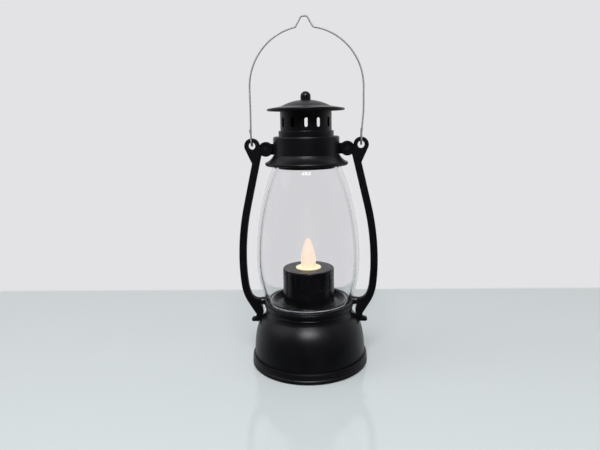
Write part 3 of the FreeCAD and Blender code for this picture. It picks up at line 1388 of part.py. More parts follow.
make_base_bowl()
make_base_foot()
make_battery_door()
make_cells()
make_contacts()
make_switch()
make_candle_plate()
make_candle_body()
make_flame()
make_light()
make_screws()
make_globe()
make_cap_collar()
make_vent_band()
make_lid()
make_arm("right_arm", 1)
make_arm("left_arm", -1)
make_knuckle_pins()
make_bail()
make_leads()
doc.recompute()

for item in doc.Objects:
    if "Invalid" in item.State or "Error" in item.State:
        raise RuntimeError(f"{item.Name} failed: {item.State}")
for item in parts:
    if item.Shape.isNull() or not item.Shape.isValid():
        raise RuntimeError(f"{item.Label} has no valid shape")

os.makedirs("parts", exist_ok=True)
for item in parts:
    item.Shape.exportStep(f"parts/{item.Label}.step")
print(f"{len(parts)} pieces written")
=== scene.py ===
import math

import bpy
import numpy as np
from mathutils import Matrix, Vector


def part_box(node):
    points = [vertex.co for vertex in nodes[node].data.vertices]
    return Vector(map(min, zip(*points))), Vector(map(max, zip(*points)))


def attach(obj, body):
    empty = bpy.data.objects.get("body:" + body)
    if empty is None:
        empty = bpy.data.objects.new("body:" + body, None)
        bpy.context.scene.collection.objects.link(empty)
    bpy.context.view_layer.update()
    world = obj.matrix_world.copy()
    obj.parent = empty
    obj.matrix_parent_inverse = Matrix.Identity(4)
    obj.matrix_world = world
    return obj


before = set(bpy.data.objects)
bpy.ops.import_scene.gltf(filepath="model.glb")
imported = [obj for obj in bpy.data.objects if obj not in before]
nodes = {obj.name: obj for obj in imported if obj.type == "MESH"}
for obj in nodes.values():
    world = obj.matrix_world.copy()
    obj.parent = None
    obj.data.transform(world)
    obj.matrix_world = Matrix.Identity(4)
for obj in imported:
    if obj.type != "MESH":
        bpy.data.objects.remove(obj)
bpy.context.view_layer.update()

print("frame loaded:", len(nodes), "nodes")


# Shared helpers. Lengths in the dictionaries are in millimetres where no note says otherwise.

mmPerMetre = 1000.0

# Noise values lie mostly between these two.
noiseLow = 0.3
noiseHigh = 0.7


def metres(millimetres):
    return millimetres * 0.001


# A texture's scale from the size of its grain: Object coordinates are in metres.
def scaleOf(millimetres):
    return mmPerMetre / millimetres


# An sRGB hex colour as the linear colour that the shaders take.
def linear(hexText):
    channels = np.array([int(hexText[i:i + 2], 16) for i in (1, 3, 5)]) / 255.0
    curved = np.where(channels <= 0.04045, channels / 12.92, ((channels + 0.055) / 1.055) ** 2.4)
    return (*curved.tolist(), 1.0)


# One node: settings go to the input or property of that name, "stops" to a colour ramp, links to inputs.
def addNode(tree, kind, settings=None, links=None):
    made = tree.nodes.new(kind)
    for name, value in (settings or {}).items():
        if name == "stops":
            ramp = made.color_ramp.elements
            while len(ramp) < len(value):
                ramp.new(0.5)
            for stop, (position, colour) in zip(ramp, value):
                stop.position = position
                stop.color = linear(colour)
        elif isinstance(name, int) or name in made.inputs:
            made.inputs[name].default_value = value
        else:
            setattr(made, name, value)
    for name, socket in (links or {}).items():
        tree.links.new(socket, made.inputs[name])
    return made


# An empty material with its output, and Object coordinates to draw patterns with.
def startMaterial(name):
    material = bpy.data.materials.new(name)
    material.use_nodes = True
    tree = material.node_tree
    tree.nodes.clear()
    output = addNode(tree, "ShaderNodeOutputMaterial")
    place = addNode(tree, "ShaderNodeTexCoord").outputs["Object"]
    return material, tree, output.inputs["Surface"], place


# A mesh from a grid of points. wrapRows and wrapColumns join the last row or column to the first,
# and ends closes the first and the last row with one flat face each.
def gridObject(name, corners, wrapRows=False, wrapColumns=False, ends=False):
    rows, columns = corners.shape[:2]
    plain = np.arange(rows * columns).reshape(rows, columns)
    index = np.pad(plain, ((0, int(wrapRows)), (0, int(wrapColumns))), "wrap")
    quads = np.stack([index[:-1, :-1], index[:-1, 1:], index[1:, 1:], index[1:, :-1]], -1).reshape(-1, 4)
    faces = quads.tolist()
    if ends:
        faces += [plain[0, ::-1].tolist(), plain[-1].tolist()]
    mesh = bpy.data.meshes.new(name)
    mesh.from_pydata(corners.reshape(-1, 3).tolist(), [], faces)
    mesh.update()
    mesh.shade_smooth()
    made = bpy.data.objects.new(name, mesh)
    bpy.context.scene.collection.objects.link(made)
    return made


def dress(material, *nodeNames):
    for name in nodeNames:
        for slot in nodes[name].material_slots:
            slot.material = material


# Moulded ABS, black: a satin skin with the fine grain of a spark-eroded mould, patches that are a little
# smoother where the melt met the mould first, matt undersides, and a few pale dust specks.
def mouldedAbs(name, look):
    material, tree, surface, place = startMaterial(name)
    flow = addNode(
        tree, "ShaderNodeTexNoise", {"Scale": scaleOf(look["flow"]), "Detail": 3.0}, {"Vector": place},
    )
    grain = addNode(
        tree, "ShaderNodeTexNoise", {"Scale": scaleOf(look["grain"]), "Detail": 2.0}, {"Vector": place},
    )
    dust = addNode(tree, "ShaderNodeTexVoronoi", {"Scale": scaleOf(look["dustGap"])}, {"Vector": place})
    speck = addNode(
        tree, "ShaderNodeMapRange",
        {"From Min": look["dustSize"] / look["dustGap"], "From Max": 0.0, "To Max": look["dustShare"]},
        {"Value": dust.outputs["Distance"]},
    )
    body = addNode(
        tree, "ShaderNodeValToRGB",
        {"stops": [(noiseLow, look["dark"]), (noiseHigh, look["light"])]}, {"Fac": flow.outputs["Fac"]},
    )
    colour = addNode(
        tree, "ShaderNodeMix", {"data_type": "RGBA", 7: linear(look["dust"])},
        {0: speck.outputs["Result"], 6: body.outputs["Color"]},
    )
    rough = addNode(
        tree, "ShaderNodeMapRange",
        {"From Min": noiseLow, "From Max": noiseHigh, "To Min": look["smooth"], "To Max": look["rough"]},
        {"Value": flow.outputs["Fac"]},
    )
    facing = addNode(tree, "ShaderNodeTexCoord").outputs["Normal"]
    tilt = addNode(tree, "ShaderNodeSeparateXYZ", {}, {"Vector": facing})
    under = addNode(
        tree, "ShaderNodeMapRange",
        {"From Min": look["underFrom"], "From Max": look["underTo"], "To Max": look["underRough"]},
        {"Value": tilt.outputs["Z"]},
    )
    skin = addNode(
        tree, "ShaderNodeMath", {"operation": "MAXIMUM"},
        {0: rough.outputs["Result"], 1: under.outputs["Result"]},
    )
    bump = addNode(
        tree, "ShaderNodeBump", {"Strength": look["grainStrength"], "Distance": metres(look["grainDepth"])},
        {"Height": grain.outputs["Fac"]},
    )
    shader = addNode(
        tree, "ShaderNodeBsdfPrincipled",
        {"IOR": look["ior"], "Specular IOR Level": look["specular"]},
        {
            "Base Color": colour.outputs[2], "Roughness": skin.outputs["Value"],
            "Normal": bump.outputs["Normal"],
        },
    )
    tree.links.new(shader.outputs["BSDF"], surface)
    return material


# The grain of the real mould is about 0.1 mm; it is drawn coarser so that it shows at this size.
# The skin turns matt where the upward part of the surface's direction goes from underFrom to underTo.
shellLook = {
    "dark": "#08080a", "light": "#0c0c0f",
    "dust": "#4a4a4d", "dustGap": 4.5, "dustSize": 0.22, "dustShare": 0.5,
    "flow": 14.0, "grain": 0.35, "grainDepth": 0.02, "grainStrength": 0.22,
    "smooth": 0.33, "rough": 0.41, "ior": 1.5, "specular": 0.26,
    "underFrom": -0.6, "underTo": -0.95, "underRough": 1.0,
}
armLook = dict(shellLook, smooth=0.46, rough=0.58, specular=0.08)
candleLook = dict(shellLook, smooth=0.16, rough=0.24, grainStrength=0.08, specular=0.24)
knobLook = dict(shellLook, smooth=0.4, rough=0.5, grainStrength=0.15)

shellAbs = mouldedAbs("mouldedAbsSatin", shellLook)
armAbs = mouldedAbs("mouldedAbsMatt", armLook)
candleAbs = mouldedAbs("mouldedAbsGloss", candleLook)
knobAbs = mouldedAbs("mouldedAbsKnob", knobLook)
dress(shellAbs, "lid", "vent_band", "cap_collar", "base_bowl", "base_foot", "battery_door")
dress(armAbs, "left_arm", "right_arm")
dress(candleAbs, "candle_body", "candle_plate")
dress(knobAbs, "switch_slider")
print("black plastic done")


# Clear polystyrene: nearly colourless, with the slight waviness of a moulded wall and a faint haze that is
# drawn out up and down, as the melt ran.
# Lamps shine through it to the candle, which a refracting wall would keep dark.
def clearPolystyrene(look):
    material, tree, surface, place = startMaterial("clearPolystyrene")
    wave = addNode(
        tree, "ShaderNodeTexNoise", {"Scale": scaleOf(look["wave"]), "Detail": 0.0}, {"Vector": place},
    )
    drawn = addNode(tree, "ShaderNodeMapping", {"Scale": (1.0, 1.0, look["streak"])}, {"Vector": place})
    haze = addNode(
        tree, "ShaderNodeTexNoise", {"Scale": scaleOf(look["haze"]), "Detail": 4.0},
        {"Vector": drawn.outputs["Vector"]},
    )
    rough = addNode(
        tree, "ShaderNodeMapRange",
        {
            "From Min": look["hazeFrom"], "From Max": look["hazeTo"],
            "To Min": look["smooth"], "To Max": look["rough"],
        },
        {"Value": haze.outputs["Fac"]},
    )
    bump = addNode(
        tree, "ShaderNodeBump", {"Strength": look["waveStrength"], "Distance": metres(look["waveDepth"])},
        {"Height": wave.outputs["Fac"]},
    )
    shader = addNode(
        tree, "ShaderNodeBsdfPrincipled",
        {"Base Color": linear(look["tint"]), "IOR": look["ior"], "Transmission Weight": 1.0},
        {"Roughness": rough.outputs["Result"], "Normal": bump.outputs["Normal"]},
    )
    clear = addNode(tree, "ShaderNodeBsdfTransparent", {"Color": linear(look["tint"])})
    ray = addNode(tree, "ShaderNodeLightPath")
    both = addNode(
        tree, "ShaderNodeMixShader", {},
        {0: ray.outputs["Is Shadow Ray"], 1: shader.outputs["BSDF"], 2: clear.outputs["BSDF"]},
    )
    tree.links.new(both.outputs["Shader"], surface)
    return material


# The real plastic has an IOR of 1.59. It is lower here to keep the wall's mirror images faint.
globeLook = {
    "tint": "#f7f7f8", "ior": 1.22, "wave": 14.0, "waveDepth": 0.03, "waveStrength": 0.03,
    "haze": 5.0, "streak": 0.08, "hazeFrom": 0.45, "hazeTo": 0.75, "smooth": 0.0, "rough": 0.05,
}
dress(clearPolystyrene(globeLook), "globe")
print("globe done")


# A ring with an oval section: around the axis by angle a, and around the section by angle t,
# radius = middle + half width * cos t and height = level + rise * sin t. The axis is Z through the origin,
# or, for a ring that lies across, a line along X at the height that across gives.
def ovalRing(name, look, material):
    around = np.linspace(0.0, 2.0 * np.pi, look["around"], endpoint=False)
    section = np.linspace(0.0, 2.0 * np.pi, look["section"], endpoint=False)
    a, t = np.meshgrid(around, section)
    radius = metres(look["middle"] + look["halfWidth"] * np.cos(t))
    height = metres(look["level"] + look["rise"] * np.sin(t))
    corners = np.stack([radius * np.cos(a), radius * np.sin(a), height], -1)
    if "across" in look:
        corners = np.roll(corners, 1, -1) + np.array([0.0, 0.0, metres(look["across"])])
    ring = gridObject(name, corners, wrapRows=True, wrapColumns=True)
    ring.data.materials.append(material)
    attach(ring, "lantern")


# Crowns on the plate's lip and on the ring round the candle.
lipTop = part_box("candle_plate")[1].z * mmPerMetre
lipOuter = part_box("candle_plate")[1].x * mmPerMetre
lipInset = 0.55
lipLook = {
    "middle": lipOuter - lipInset, "halfWidth": 0.52, "level": lipTop, "rise": 0.4,
    "around": 160, "section": 16,
}
crownLook = dict(lipLook, middle=18.75, level=44.1, rise=0.35)
crownSkin = dict(candleLook, smooth=0.05, rough=0.1, specular=0.6)
crownAbs = mouldedAbs("mouldedAbsCrown", crownSkin)
ovalRing("plate_lip_crown", lipLook, crownAbs)
ovalRing("plate_ring_crown", crownLook, crownAbs)

# Two thin beads on the neck of the base.
neckLook = dict(lipLook, middle=31.1, halfWidth=0.3, level=43.3, rise=0.3)
lowNeckLook = dict(neckLook, middle=30.25, level=39.2)
neckSkin = dict(shellLook, smooth=0.22, rough=0.3, specular=0.4)
neckAbs = mouldedAbs("mouldedAbsNeck", neckSkin)
ovalRing("neck_bead_upper", neckLook, neckAbs)
ovalRing("neck_bead_lower", lowNeckLook, neckAbs)

# Glossy collars on the two pegs. Their level is a place along X.
pegLook = {
    "middle": 2.1, "halfWidth": 0.6, "level": 33.2, "rise": 1.6, "across": 43.8,
    "around": 64, "section": 24,
}
leftPegLook = dict(pegLook, level=-pegLook["level"])
pegSkin = dict(shellLook, smooth=0.2, rough=0.28, specular=0.5)
pegAbs = mouldedAbs("mouldedAbsPeg", pegSkin)
ovalRing("right_peg_collar", pegLook, pegAbs)
ovalRing("left_peg_collar", leftPegLook, pegAbs)


# A clip of the lid inside the vent band: a strip bent about the axis, with a section of rounded corners.
# Around the section by angle t, radius = middle + half wall * soft(cos t) and angle = turn + half spread *
# soft(sin t), where soft keeps the sign and raises the size to the power of corner.
# Height runs from low to high.
def lidClip(name, look, turn, material):
    t, height = np.meshgrid(
        np.linspace(0.0, 2.0 * np.pi, look["section"], endpoint=False),
        np.linspace(metres(look["low"]), metres(look["high"]), look["rows"]),
    )
    out = np.sign(np.cos(t)) * np.abs(np.cos(t)) ** look["corner"]
    side = np.sign(np.sin(t)) * np.abs(np.sin(t)) ** look["corner"]
    radius = metres(look["middle"] + look["halfWall"] * out)
    angle = np.radians(turn + look["halfSpread"] * side)
    corners = np.stack([radius * np.cos(angle), radius * np.sin(angle), height], -1)
    clip = gridObject(name, corners, wrapColumns=True, ends=True)
    clip.data.materials.append(material)
    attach(clip, "lantern")


# turns and halfSpread are in degrees.
clipLook = {
    "middle": 15.0, "halfWall": 0.5, "halfSpread": 11.0, "low": 163.4, "high": 172.6, "corner": 0.35,
    "section": 48, "rows": 12,
    "turns": {"lid_clip_right": 29.0, "lid_clip_back": 120.0, "lid_clip_left": 210.0},
}
for clipName, clipTurn in clipLook["turns"].items():
    lidClip(clipName, clipLook, clipTurn, shellAbs)


# Pale, slightly rough plastic with a faint mottle: a painted highlight, standing for the light that the
# globe's foot carries along its edge.
def paintedHighlightPlastic(look):
    material, tree, surface, place = startMaterial("paintedHighlightPlastic")
    highlightMottle = addNode(tree, "ShaderNodeTexNoise", {"Scale": scaleOf(look["highlightMottle"])}, {"Vector": place})
    colour = addNode(
        tree, "ShaderNodeValToRGB",
        {"stops": [(noiseLow, look["dark"]), (noiseHigh, look["light"])]}, {"Fac": highlightMottle.outputs["Fac"]},
    )
    shader = addNode(
        tree, "ShaderNodeBsdfPrincipled", {"IOR": look["ior"], "Roughness": look["rough"]},
        {"Base Color": colour.outputs["Color"]},
    )
    tree.links.new(shader.outputs["BSDF"], surface)
    return material


# A thin ring inside the globe's foot, painted pale as the bright edge where light runs through the foot: a
# painted highlight.
paintedHighlightLook = {"dark": "#8e8f91", "light": "#a6a7a9", "highlightMottle": 1.0, "ior": 1.59, "rough": 0.25}
paintedHighlightRingLook = dict(lipLook, middle=27.0, halfWidth=0.28, level=45.33, rise=0.3)
ovalRing("globe_foot_painted_highlight", paintedHighlightRingLook, paintedHighlightPlastic(paintedHighlightLook))
print("rings done")


# Milky polypropylene, or the epoxy lens of the LED, lit from inside: warm white, orange at the very foot,
# yellow just above it and pinker towards the tip.
def litPolypropylene(name, look):
    material, tree, surface, place = startMaterial(name)
    parts = addNode(tree, "ShaderNodeSeparateXYZ", {}, {"Vector": place})
    cloud = addNode(
        tree, "ShaderNodeTexNoise", {"Scale": scaleOf(look["cloud"]), "Detail": 3.0}, {"Vector": place},
    )
    height = addNode(
        tree, "ShaderNodeMapRange",
        {"From Min": metres(look["foot"]), "From Max": metres(look["tip"])}, {"Value": parts.outputs["Z"]},
    )
    glow = addNode(tree, "ShaderNodeValToRGB", {"stops": look["stops"]}, {"Fac": height.outputs["Result"]})
    rough = addNode(
        tree, "ShaderNodeMapRange", {"To Min": look["smooth"], "To Max": look["rough"]},
        {"Value": cloud.outputs["Fac"]},
    )
    shader = addNode(
        tree, "ShaderNodeBsdfPrincipled",
        {"Base Color": linear(look["body"]), "IOR": look["ior"], "Emission Strength": look["strength"]},
        {"Roughness": rough.outputs["Result"], "Emission Color": glow.outputs["Color"]},
    )
    tree.links.new(shader.outputs["BSDF"], surface)
    return material


# foot and tip are heights; stops run between them.
flameLook = {
    "body": "#6b6259", "ior": 1.49, "foot": 67.5, "tip": 89.1, "cloud": 3.0, "smooth": 0.35, "rough": 0.5,
    "strength": 0.9,
    "stops": [
        (0.0, "#ec7a44"), (0.055, "#fdefc2"), (0.1, "#fdefc6"),
        (0.3, "#ffe6cf"), (0.75, "#ffe4cd"), (1.0, "#fbdac6"),
    ],
}
ledLook = dict(flameLook, body="#f2e6c8", foot=60.0, tip=75.0, strength=1.5)
dress(litPolypropylene("litPolypropylene", flameLook), "flame_diffuser")
dress(litPolypropylene("litEpoxy", ledLook), "led")
print("flame done")


# Bare metal: a grey sheen broken up by fine rubbing marks and duller spots.
def bareMetal(name, look):
    material, tree, surface, place = startMaterial(name)
    rub = addNode(
        tree, "ShaderNodeTexNoise", {"Scale": scaleOf(look["rub"]), "Detail": 4.0}, {"Vector": place},
    )
    colour = addNode(
        tree, "ShaderNodeValToRGB",
        {"stops": [(noiseLow, look["dark"]), (noiseHigh, look["light"])]}, {"Fac": rub.outputs["Fac"]},
    )
    rough = addNode(
        tree, "ShaderNodeMapRange",
        {"From Min": noiseLow, "From Max": noiseHigh, "To Min": look["smooth"], "To Max": look["rough"]},
        {"Value": rub.outputs["Fac"]},
    )
    bump = addNode(
        tree, "ShaderNodeBump", {"Strength": look["rubStrength"], "Distance": metres(look["rubDepth"])},
        {"Height": rub.outputs["Fac"]},
    )
    shader = addNode(
        tree, "ShaderNodeBsdfPrincipled", {"Metallic": 1.0},
        {
            "Base Color": colour.outputs["Color"], "Roughness": rough.outputs["Result"],
            "Normal": bump.outputs["Normal"],
        },
    )
    tree.links.new(shader.outputs["BSDF"], surface)
    return material


wireLook = {
    "dark": "#b2b2b4", "light": "#c2c2c4", "rub": 3.0, "rubDepth": 0.002, "rubStrength": 0.1,
    "smooth": 0.66, "rough": 0.74,
}
pinLook = dict(wireLook, dark="#2c2c2e", light="#3a3a3c", rub=0.8, smooth=0.35, rough=0.5)
zincLook = dict(wireLook, dark="#a4a7ab", light="#c4c6c8", rub=0.8, smooth=0.3, rough=0.45)
nickelLook = dict(
    wireLook, dark="#b3afa6", light="#d0ccc4", rub=1.5, rubDepth=0.01, smooth=0.18, rough=0.3,
)
pressedLook = dict(wireLook, dark="#a9a9aa", light="#c0c0c1", rub=2.0, smooth=0.3, rough=0.42)
dress(bareMetal("drawnSteelWire", wireLook), "bail")
dress(bareMetal("blackenedSteel", pinLook), "knuckle_pins")
dress(bareMetal("zincPlatedSteel", zincLook), "board_screws", "candle_screws", "foot_screws")
dress(bareMetal("nickelPlatedSteel", nickelLook), "contact_springs", "contact_plates")
dress(bareMetal("pressedSteel", pressedLook), "switch_housing")
print("metal done")


# Vinyl sleeve of a cell: dark glossy film with one plain pale band near one end.
def cellSleeve(look):
    material, tree, surface, place = startMaterial("vinylSleeve")
    parts = addNode(tree, "ShaderNodeSeparateXYZ", {}, {"Vector": place})
    along = addNode(
        tree, "ShaderNodeMapRange",
        {"From Min": metres(look["from"]), "From Max": metres(look["to"])}, {"Value": parts.outputs["Y"]},
    )
    colour = addNode(
        tree, "ShaderNodeValToRGB", {"stops": look["stops"]}, {"Fac": along.outputs["Result"]},
    )
    film = addNode(tree, "ShaderNodeTexNoise", {"Scale": scaleOf(look["film"])}, {"Vector": place})
    rough = addNode(
        tree, "ShaderNodeMapRange", {"To Min": look["smooth"], "To Max": look["rough"]},
        {"Value": film.outputs["Fac"]},
    )
    shader = addNode(
        tree, "ShaderNodeBsdfPrincipled", {"IOR": look["ior"]},
        {"Base Color": colour.outputs["Color"], "Roughness": rough.outputs["Result"]},
    )
    tree.links.new(shader.outputs["BSDF"], surface)
    return material


sleeveLook = {
    "from": -22.0, "to": 22.0, "film": 2.0, "ior": 1.53, "smooth": 0.15, "rough": 0.35,
    "stops": [
        (0.0, "#23303c"), (0.72, "#23303c"), (0.73, "#b9b4a4"), (0.8, "#b9b4a4"), (0.81, "#23303c"),
    ],
}
dress(cellSleeve(sleeveLook), "battery_cell_left", "battery_cell_middle", "battery_cell_right")


# Glass-filled laminate under green solder mask: the tracks show as lighter lines.
def solderMask(look):
    material, tree, surface, place = startMaterial("solderMaskLaminate")
    tracks = addNode(
        tree, "ShaderNodeTexBrick",
        {
            "Scale": scaleOf(look["pitch"]), "Mortar Size": look["trackWidth"],
            "Brick Width": look["padLength"], "Row Height": look["padWidth"],
            "Color1": linear(look["mask"]), "Color2": linear(look["maskDark"]),
            "Mortar": linear(look["track"]),
        },
        {"Vector": place},
    )
    bump = addNode(
        tree, "ShaderNodeBump", {"Strength": look["trackStrength"], "Distance": metres(look["trackDepth"])},
        {"Height": tracks.outputs["Fac"]},
    )
    shader = addNode(
        tree, "ShaderNodeBsdfPrincipled", {"IOR": look["ior"], "Roughness": look["rough"]},
        {"Base Color": tracks.outputs["Color"], "Normal": bump.outputs["Normal"]},
    )
    tree.links.new(shader.outputs["BSDF"], surface)
    return material


# trackWidth, padLength and padWidth are shares of the pitch.
maskLook = {
    "mask": "#1f6a3c", "maskDark": "#1a5c34", "track": "#2f8a52", "pitch": 2.4, "trackDepth": 0.035,
    "trackWidth": 0.06, "padLength": 1.4, "padWidth": 0.7, "trackStrength": 0.3, "ior": 1.52, "rough": 0.25,
}
dress(solderMask(maskLook), "circuit_board")


# Fired ceramic or a soft vinyl lead: a dull even skin with small mottling.
def dullSkin(name, look):
    material, tree, surface, place = startMaterial(name)
    mottle = addNode(
        tree, "ShaderNodeTexNoise", {"Scale": scaleOf(look["mottle"]), "Detail": 3.0}, {"Vector": place},
    )
    colour = addNode(
        tree, "ShaderNodeValToRGB",
        {"stops": [(look["low"], look["dark"]), (look["high"], look["light"])]},
        {"Fac": mottle.outputs["Fac"]},
    )
    bump = addNode(
        tree, "ShaderNodeBump", {"Strength": look["strength"], "Distance": metres(look["depth"])},
        {"Height": mottle.outputs["Fac"]},
    )
    shader = addNode(
        tree, "ShaderNodeBsdfPrincipled", {"IOR": look["ior"], "Roughness": look["rough"]},
        {"Base Color": colour.outputs["Color"], "Normal": bump.outputs["Normal"]},
    )
    tree.links.new(shader.outputs["BSDF"], surface)
    return material


resistorLook = {
    "dark": "#151515", "light": "#262624", "low": 0.35, "high": 0.65, "mottle": 0.4, "depth": 0.02,
    "strength": 0.2, "ior": 1.6, "rough": 0.6,
}
redLook = dict(resistorLook, dark="#9c2018", light="#b42a20", mottle=1.0, depth=0.01, ior=1.5, rough=0.45)
blackLook = dict(redLook, dark="#161617", light="#212122")
whiteLook = dict(redLook, dark="#c9c6bd", light="#dad7cf")
dress(dullSkin("firedCeramic", resistorLook), "resistor")
dress(dullSkin("redVinyl", redLook), "supply_lead")
dress(dullSkin("whiteVinyl", whiteLook), "switch_lead")
dress(dullSkin("blackVinyl", blackLook), "return_lead")
print("inner parts done")


# Stage: a pale table top with a wall tone behind it. reach and the pairs that end in From and To are in
# metres, apart from dimFrom and dimTo, which are directions along Y.
stageLook = {
    "reach": 1.5, "open": 36.0, "drop": 0.1, "around": 96, "rows": 6,
    "wall": "#e3e3e5", "wallFrom": 0.158, "wallTo": 0.162, "fadeFrom": 0.5, "fadeTo": 0.8,
    "table": "#c8cecb", "tableMottle": 30.0, "tableSmooth": 0.06, "tableRough": 0.12, "tableSpecular": 0.5,
    "room": "#f2f4f8", "roomStrength": 0.4,
    "dim": "#2a2b2e", "dimFrom": -0.6, "dimTo": 0.75, "shadeFrom": 0.02, "shadeTo": -0.06,
}

# Counts of bounces are whole, so half a bounce tells none from one.
halfBounce = 0.5


# A flat round sheet, open under the lantern so that the room lights its underside: by angle a and radius r,
# x = r cos a and y = r sin a, and z is constant. The radius runs inwards, so that the faces look up.
def tableTop(look):
    a, r = np.meshgrid(
        np.linspace(0.0, 2.0 * np.pi, look["around"], endpoint=False),
        np.linspace(look["reach"], metres(look["open"]), look["rows"]),
    )
    corners = np.stack([r * np.cos(a), r * np.sin(a), np.full(a.shape, -metres(look["drop"]))], -1)
    return gridObject("tableTop", corners, wrapColumns=True)


# Painted board: pale with a slight gloss. Behind the lantern and far out it takes the flat tone of the wall.
# Gloss sees its front part dim, and it is clear from below.
def paleBoard(look):
    material, tree, surface, place = startMaterial("paleBoard")
    parts = addNode(tree, "ShaderNodeSeparateXYZ", {}, {"Vector": place})
    mottle = addNode(tree, "ShaderNodeTexNoise", {"Scale": scaleOf(look["tableMottle"])}, {"Vector": place})
    rough = addNode(
        tree, "ShaderNodeMapRange", {"To Min": look["tableSmooth"], "To Max": look["tableRough"]},
        {"Value": mottle.outputs["Fac"]},
    )
    board = addNode(
        tree, "ShaderNodeBsdfPrincipled",
        {"Base Color": linear(look["table"]), "Specular IOR Level": look["tableSpecular"]},
        {"Roughness": rough.outputs["Result"]},
    )
    wall = addNode(tree, "ShaderNodeEmission", {"Color": linear(look["wall"])})
    behind = addNode(
        tree, "ShaderNodeMapRange",
        {"From Min": look["wallFrom"], "From Max": look["wallTo"]}, {"Value": parts.outputs["Y"]},
    )
    reach = addNode(tree, "ShaderNodeVectorMath", {"operation": "LENGTH"}, {0: place})
    far = addNode(
        tree, "ShaderNodeMapRange",
        {"From Min": look["fadeFrom"], "From Max": look["fadeTo"]}, {"Value": reach.outputs["Value"]},
    )
    away = addNode(
        tree, "ShaderNodeMath", {"operation": "MAXIMUM"},
        {0: behind.outputs["Result"], 1: far.outputs["Result"]},
    )
    both = addNode(
        tree, "ShaderNodeMixShader", {},
        {0: away.outputs["Value"], 1: board.outputs["BSDF"], 2: wall.outputs["Emission"]},
    )
    ray = addNode(tree, "ShaderNodeLightPath")
    front = addNode(
        tree, "ShaderNodeMapRange",
        {"From Min": look["shadeFrom"], "From Max": look["shadeTo"]}, {"Value": parts.outputs["Y"]},
    )
    mirrored = addNode(
        tree, "ShaderNodeMath", {"operation": "GREATER_THAN", 1: halfBounce},
        {0: ray.outputs["Glossy Depth"]},
    )
    shade = addNode(
        tree, "ShaderNodeMath", {"operation": "MULTIPLY"},
        {0: mirrored.outputs["Value"], 1: front.outputs["Result"]},
    )
    dim = addNode(tree, "ShaderNodeEmission", {"Color": linear(look["dim"])})
    whole = addNode(
        tree, "ShaderNodeMixShader", {},
        {0: shade.outputs["Value"], 1: both.outputs["Shader"], 2: dim.outputs["Emission"]},
    )
    under = addNode(tree, "ShaderNodeNewGeometry")
    clear = addNode(tree, "ShaderNodeBsdfTransparent")
    oneSided = addNode(
        tree, "ShaderNodeMixShader", {},
        {0: under.outputs["Backfacing"], 1: whole.outputs["Shader"], 2: clear.outputs["BSDF"]},
    )
    tree.links.new(oneSided.outputs["Shader"], surface)
    return material


table = tableTop(stageLook)
table.data.materials.append(paleBoard(stageLook))


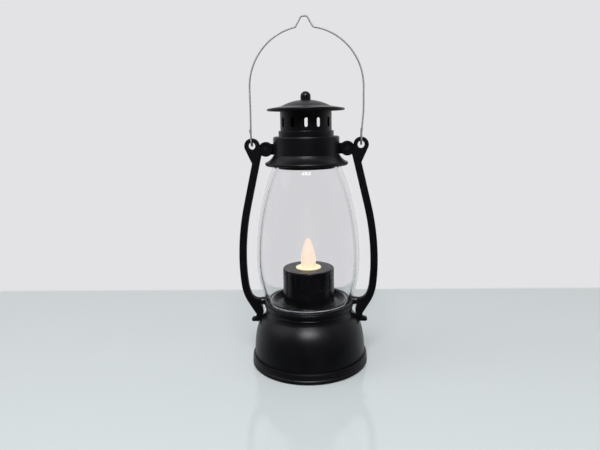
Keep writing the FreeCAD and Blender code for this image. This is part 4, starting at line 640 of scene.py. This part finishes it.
# The world gives soft light from all round. The eye, straight or through the globe, sees the wall tone on
# every side; gloss sees it too, but dimmer towards the front, as in a studio that is dark behind the camera.
def softRoom(look):
    world = bpy.data.worlds.new("softRoom")
    bpy.context.scene.world = world
    world.use_nodes = True
    tree = world.node_tree
    tree.nodes.clear()
    output = addNode(tree, "ShaderNodeOutputWorld")
    ray = addNode(tree, "ShaderNodeLightPath")
    way = addNode(tree, "ShaderNodeTexCoord").outputs["Generated"]
    parts = addNode(tree, "ShaderNodeSeparateXYZ", {}, {"Vector": way})
    back = addNode(
        tree, "ShaderNodeMapRange",
        {"From Min": look["dimFrom"], "From Max": look["dimTo"]}, {"Value": parts.outputs["Y"]},
    )
    tone = addNode(
        tree, "ShaderNodeValToRGB", {"stops": [(0.0, look["dim"]), (1.0, look["wall"])]},
        {"Fac": back.outputs["Result"]},
    )
    bounced = addNode(
        tree, "ShaderNodeMath", {"operation": "ADD"},
        {0: ray.outputs["Diffuse Depth"], 1: ray.outputs["Glossy Depth"]},
    )
    straight = addNode(
        tree, "ShaderNodeMath", {"operation": "LESS_THAN", 1: halfBounce}, {0: bounced.outputs["Value"]},
    )
    through = addNode(
        tree, "ShaderNodeMath", {"operation": "MULTIPLY"},
        {0: ray.outputs["Is Transmission Ray"], 1: straight.outputs["Value"]},
    )
    seen = addNode(
        tree, "ShaderNodeMath", {"operation": "MAXIMUM"},
        {0: ray.outputs["Is Camera Ray"], 1: through.outputs["Value"]},
    )
    room = addNode(
        tree, "ShaderNodeBackground", {"Color": linear(look["room"]), "Strength": look["roomStrength"]},
    )
    gloss = addNode(tree, "ShaderNodeBackground", {}, {"Color": tone.outputs["Color"]})
    wall = addNode(tree, "ShaderNodeBackground", {"Color": linear(look["wall"])})
    lit = addNode(
        tree, "ShaderNodeMixShader", {},
        {0: ray.outputs["Is Glossy Ray"], 1: room.outputs["Background"], 2: gloss.outputs["Background"]},
    )
    both = addNode(
        tree, "ShaderNodeMixShader", {},
        {0: seen.outputs["Value"], 1: lit.outputs["Shader"], 2: wall.outputs["Background"]},
    )
    tree.links.new(both.outputs["Shader"], output.inputs["Surface"])


softRoom(stageLook)


# Square lamps: place, the point each shines at and side in metres, power and tone.
lamps = {
    "ceilingLamp": {
        "place": (0.0, -0.84, 1.08), "aim": (0.0, -0.03, 0.05), "side": 0.54,
        "watts": 17.0, "tone": "#f8f9ff",
    },
    "leftLamp": {
        "place": (-1.3, -0.3, 1.3), "aim": (0.0, 0.0, 0.1), "side": 1.2,
        "watts": 5.5, "tone": "#fbfbff",
    },
}
for lampName, lamp in lamps.items():
    light = bpy.data.lights.new(lampName, "AREA")
    light.size = lamp["side"]
    light.energy = lamp["watts"]
    light.color = linear(lamp["tone"])[:3]
    holder = bpy.data.objects.new(lampName, light)
    bpy.context.scene.collection.objects.link(holder)
    holder.location = lamp["place"]
    way = Vector(lamp["aim"]) - Vector(lamp["place"])
    holder.rotation_euler = way.to_track_quat("-Z", "Y").to_euler()
print("stage done")


# Camera at the photo's viewing angle. turn, down and roll are in degrees, shift is a share of the sensor's
# width, and near is the shortest distance at which it sees.
cameraLook = {
    "place": (13.25, -344.85, 164.0), "turn": 2.2, "down": 10.8, "roll": -1.0,
    "sensor": 36.0, "lens": 30.6, "shift": -0.01292, "near": 10.0,
}


def photoCamera(look):
    data = bpy.data.cameras.new("photoCamera")
    data.sensor_width = look["sensor"]
    data.lens = look["lens"]
    data.shift_x = look["shift"]
    holder = bpy.data.objects.new("photoCamera", data)
    bpy.context.scene.collection.objects.link(holder)
    turn = Matrix.Rotation(math.radians(look["turn"]), 4, "Z")
    tip = Matrix.Rotation(math.radians(90.0 - look["down"]), 4, "X")  # 90 degrees is level
    roll = Matrix.Rotation(math.radians(look["roll"]), 4, "Z")
    place = Matrix.Translation([metres(value) for value in look["place"]])
    holder.matrix_world = place @ turn @ tip @ roll
    data.clip_start = metres(look["near"])
    bpy.context.scene.camera = holder


photoCamera(cameraLook)
bpy.context.scene.view_settings.view_transform = "Standard"
print("camera done")
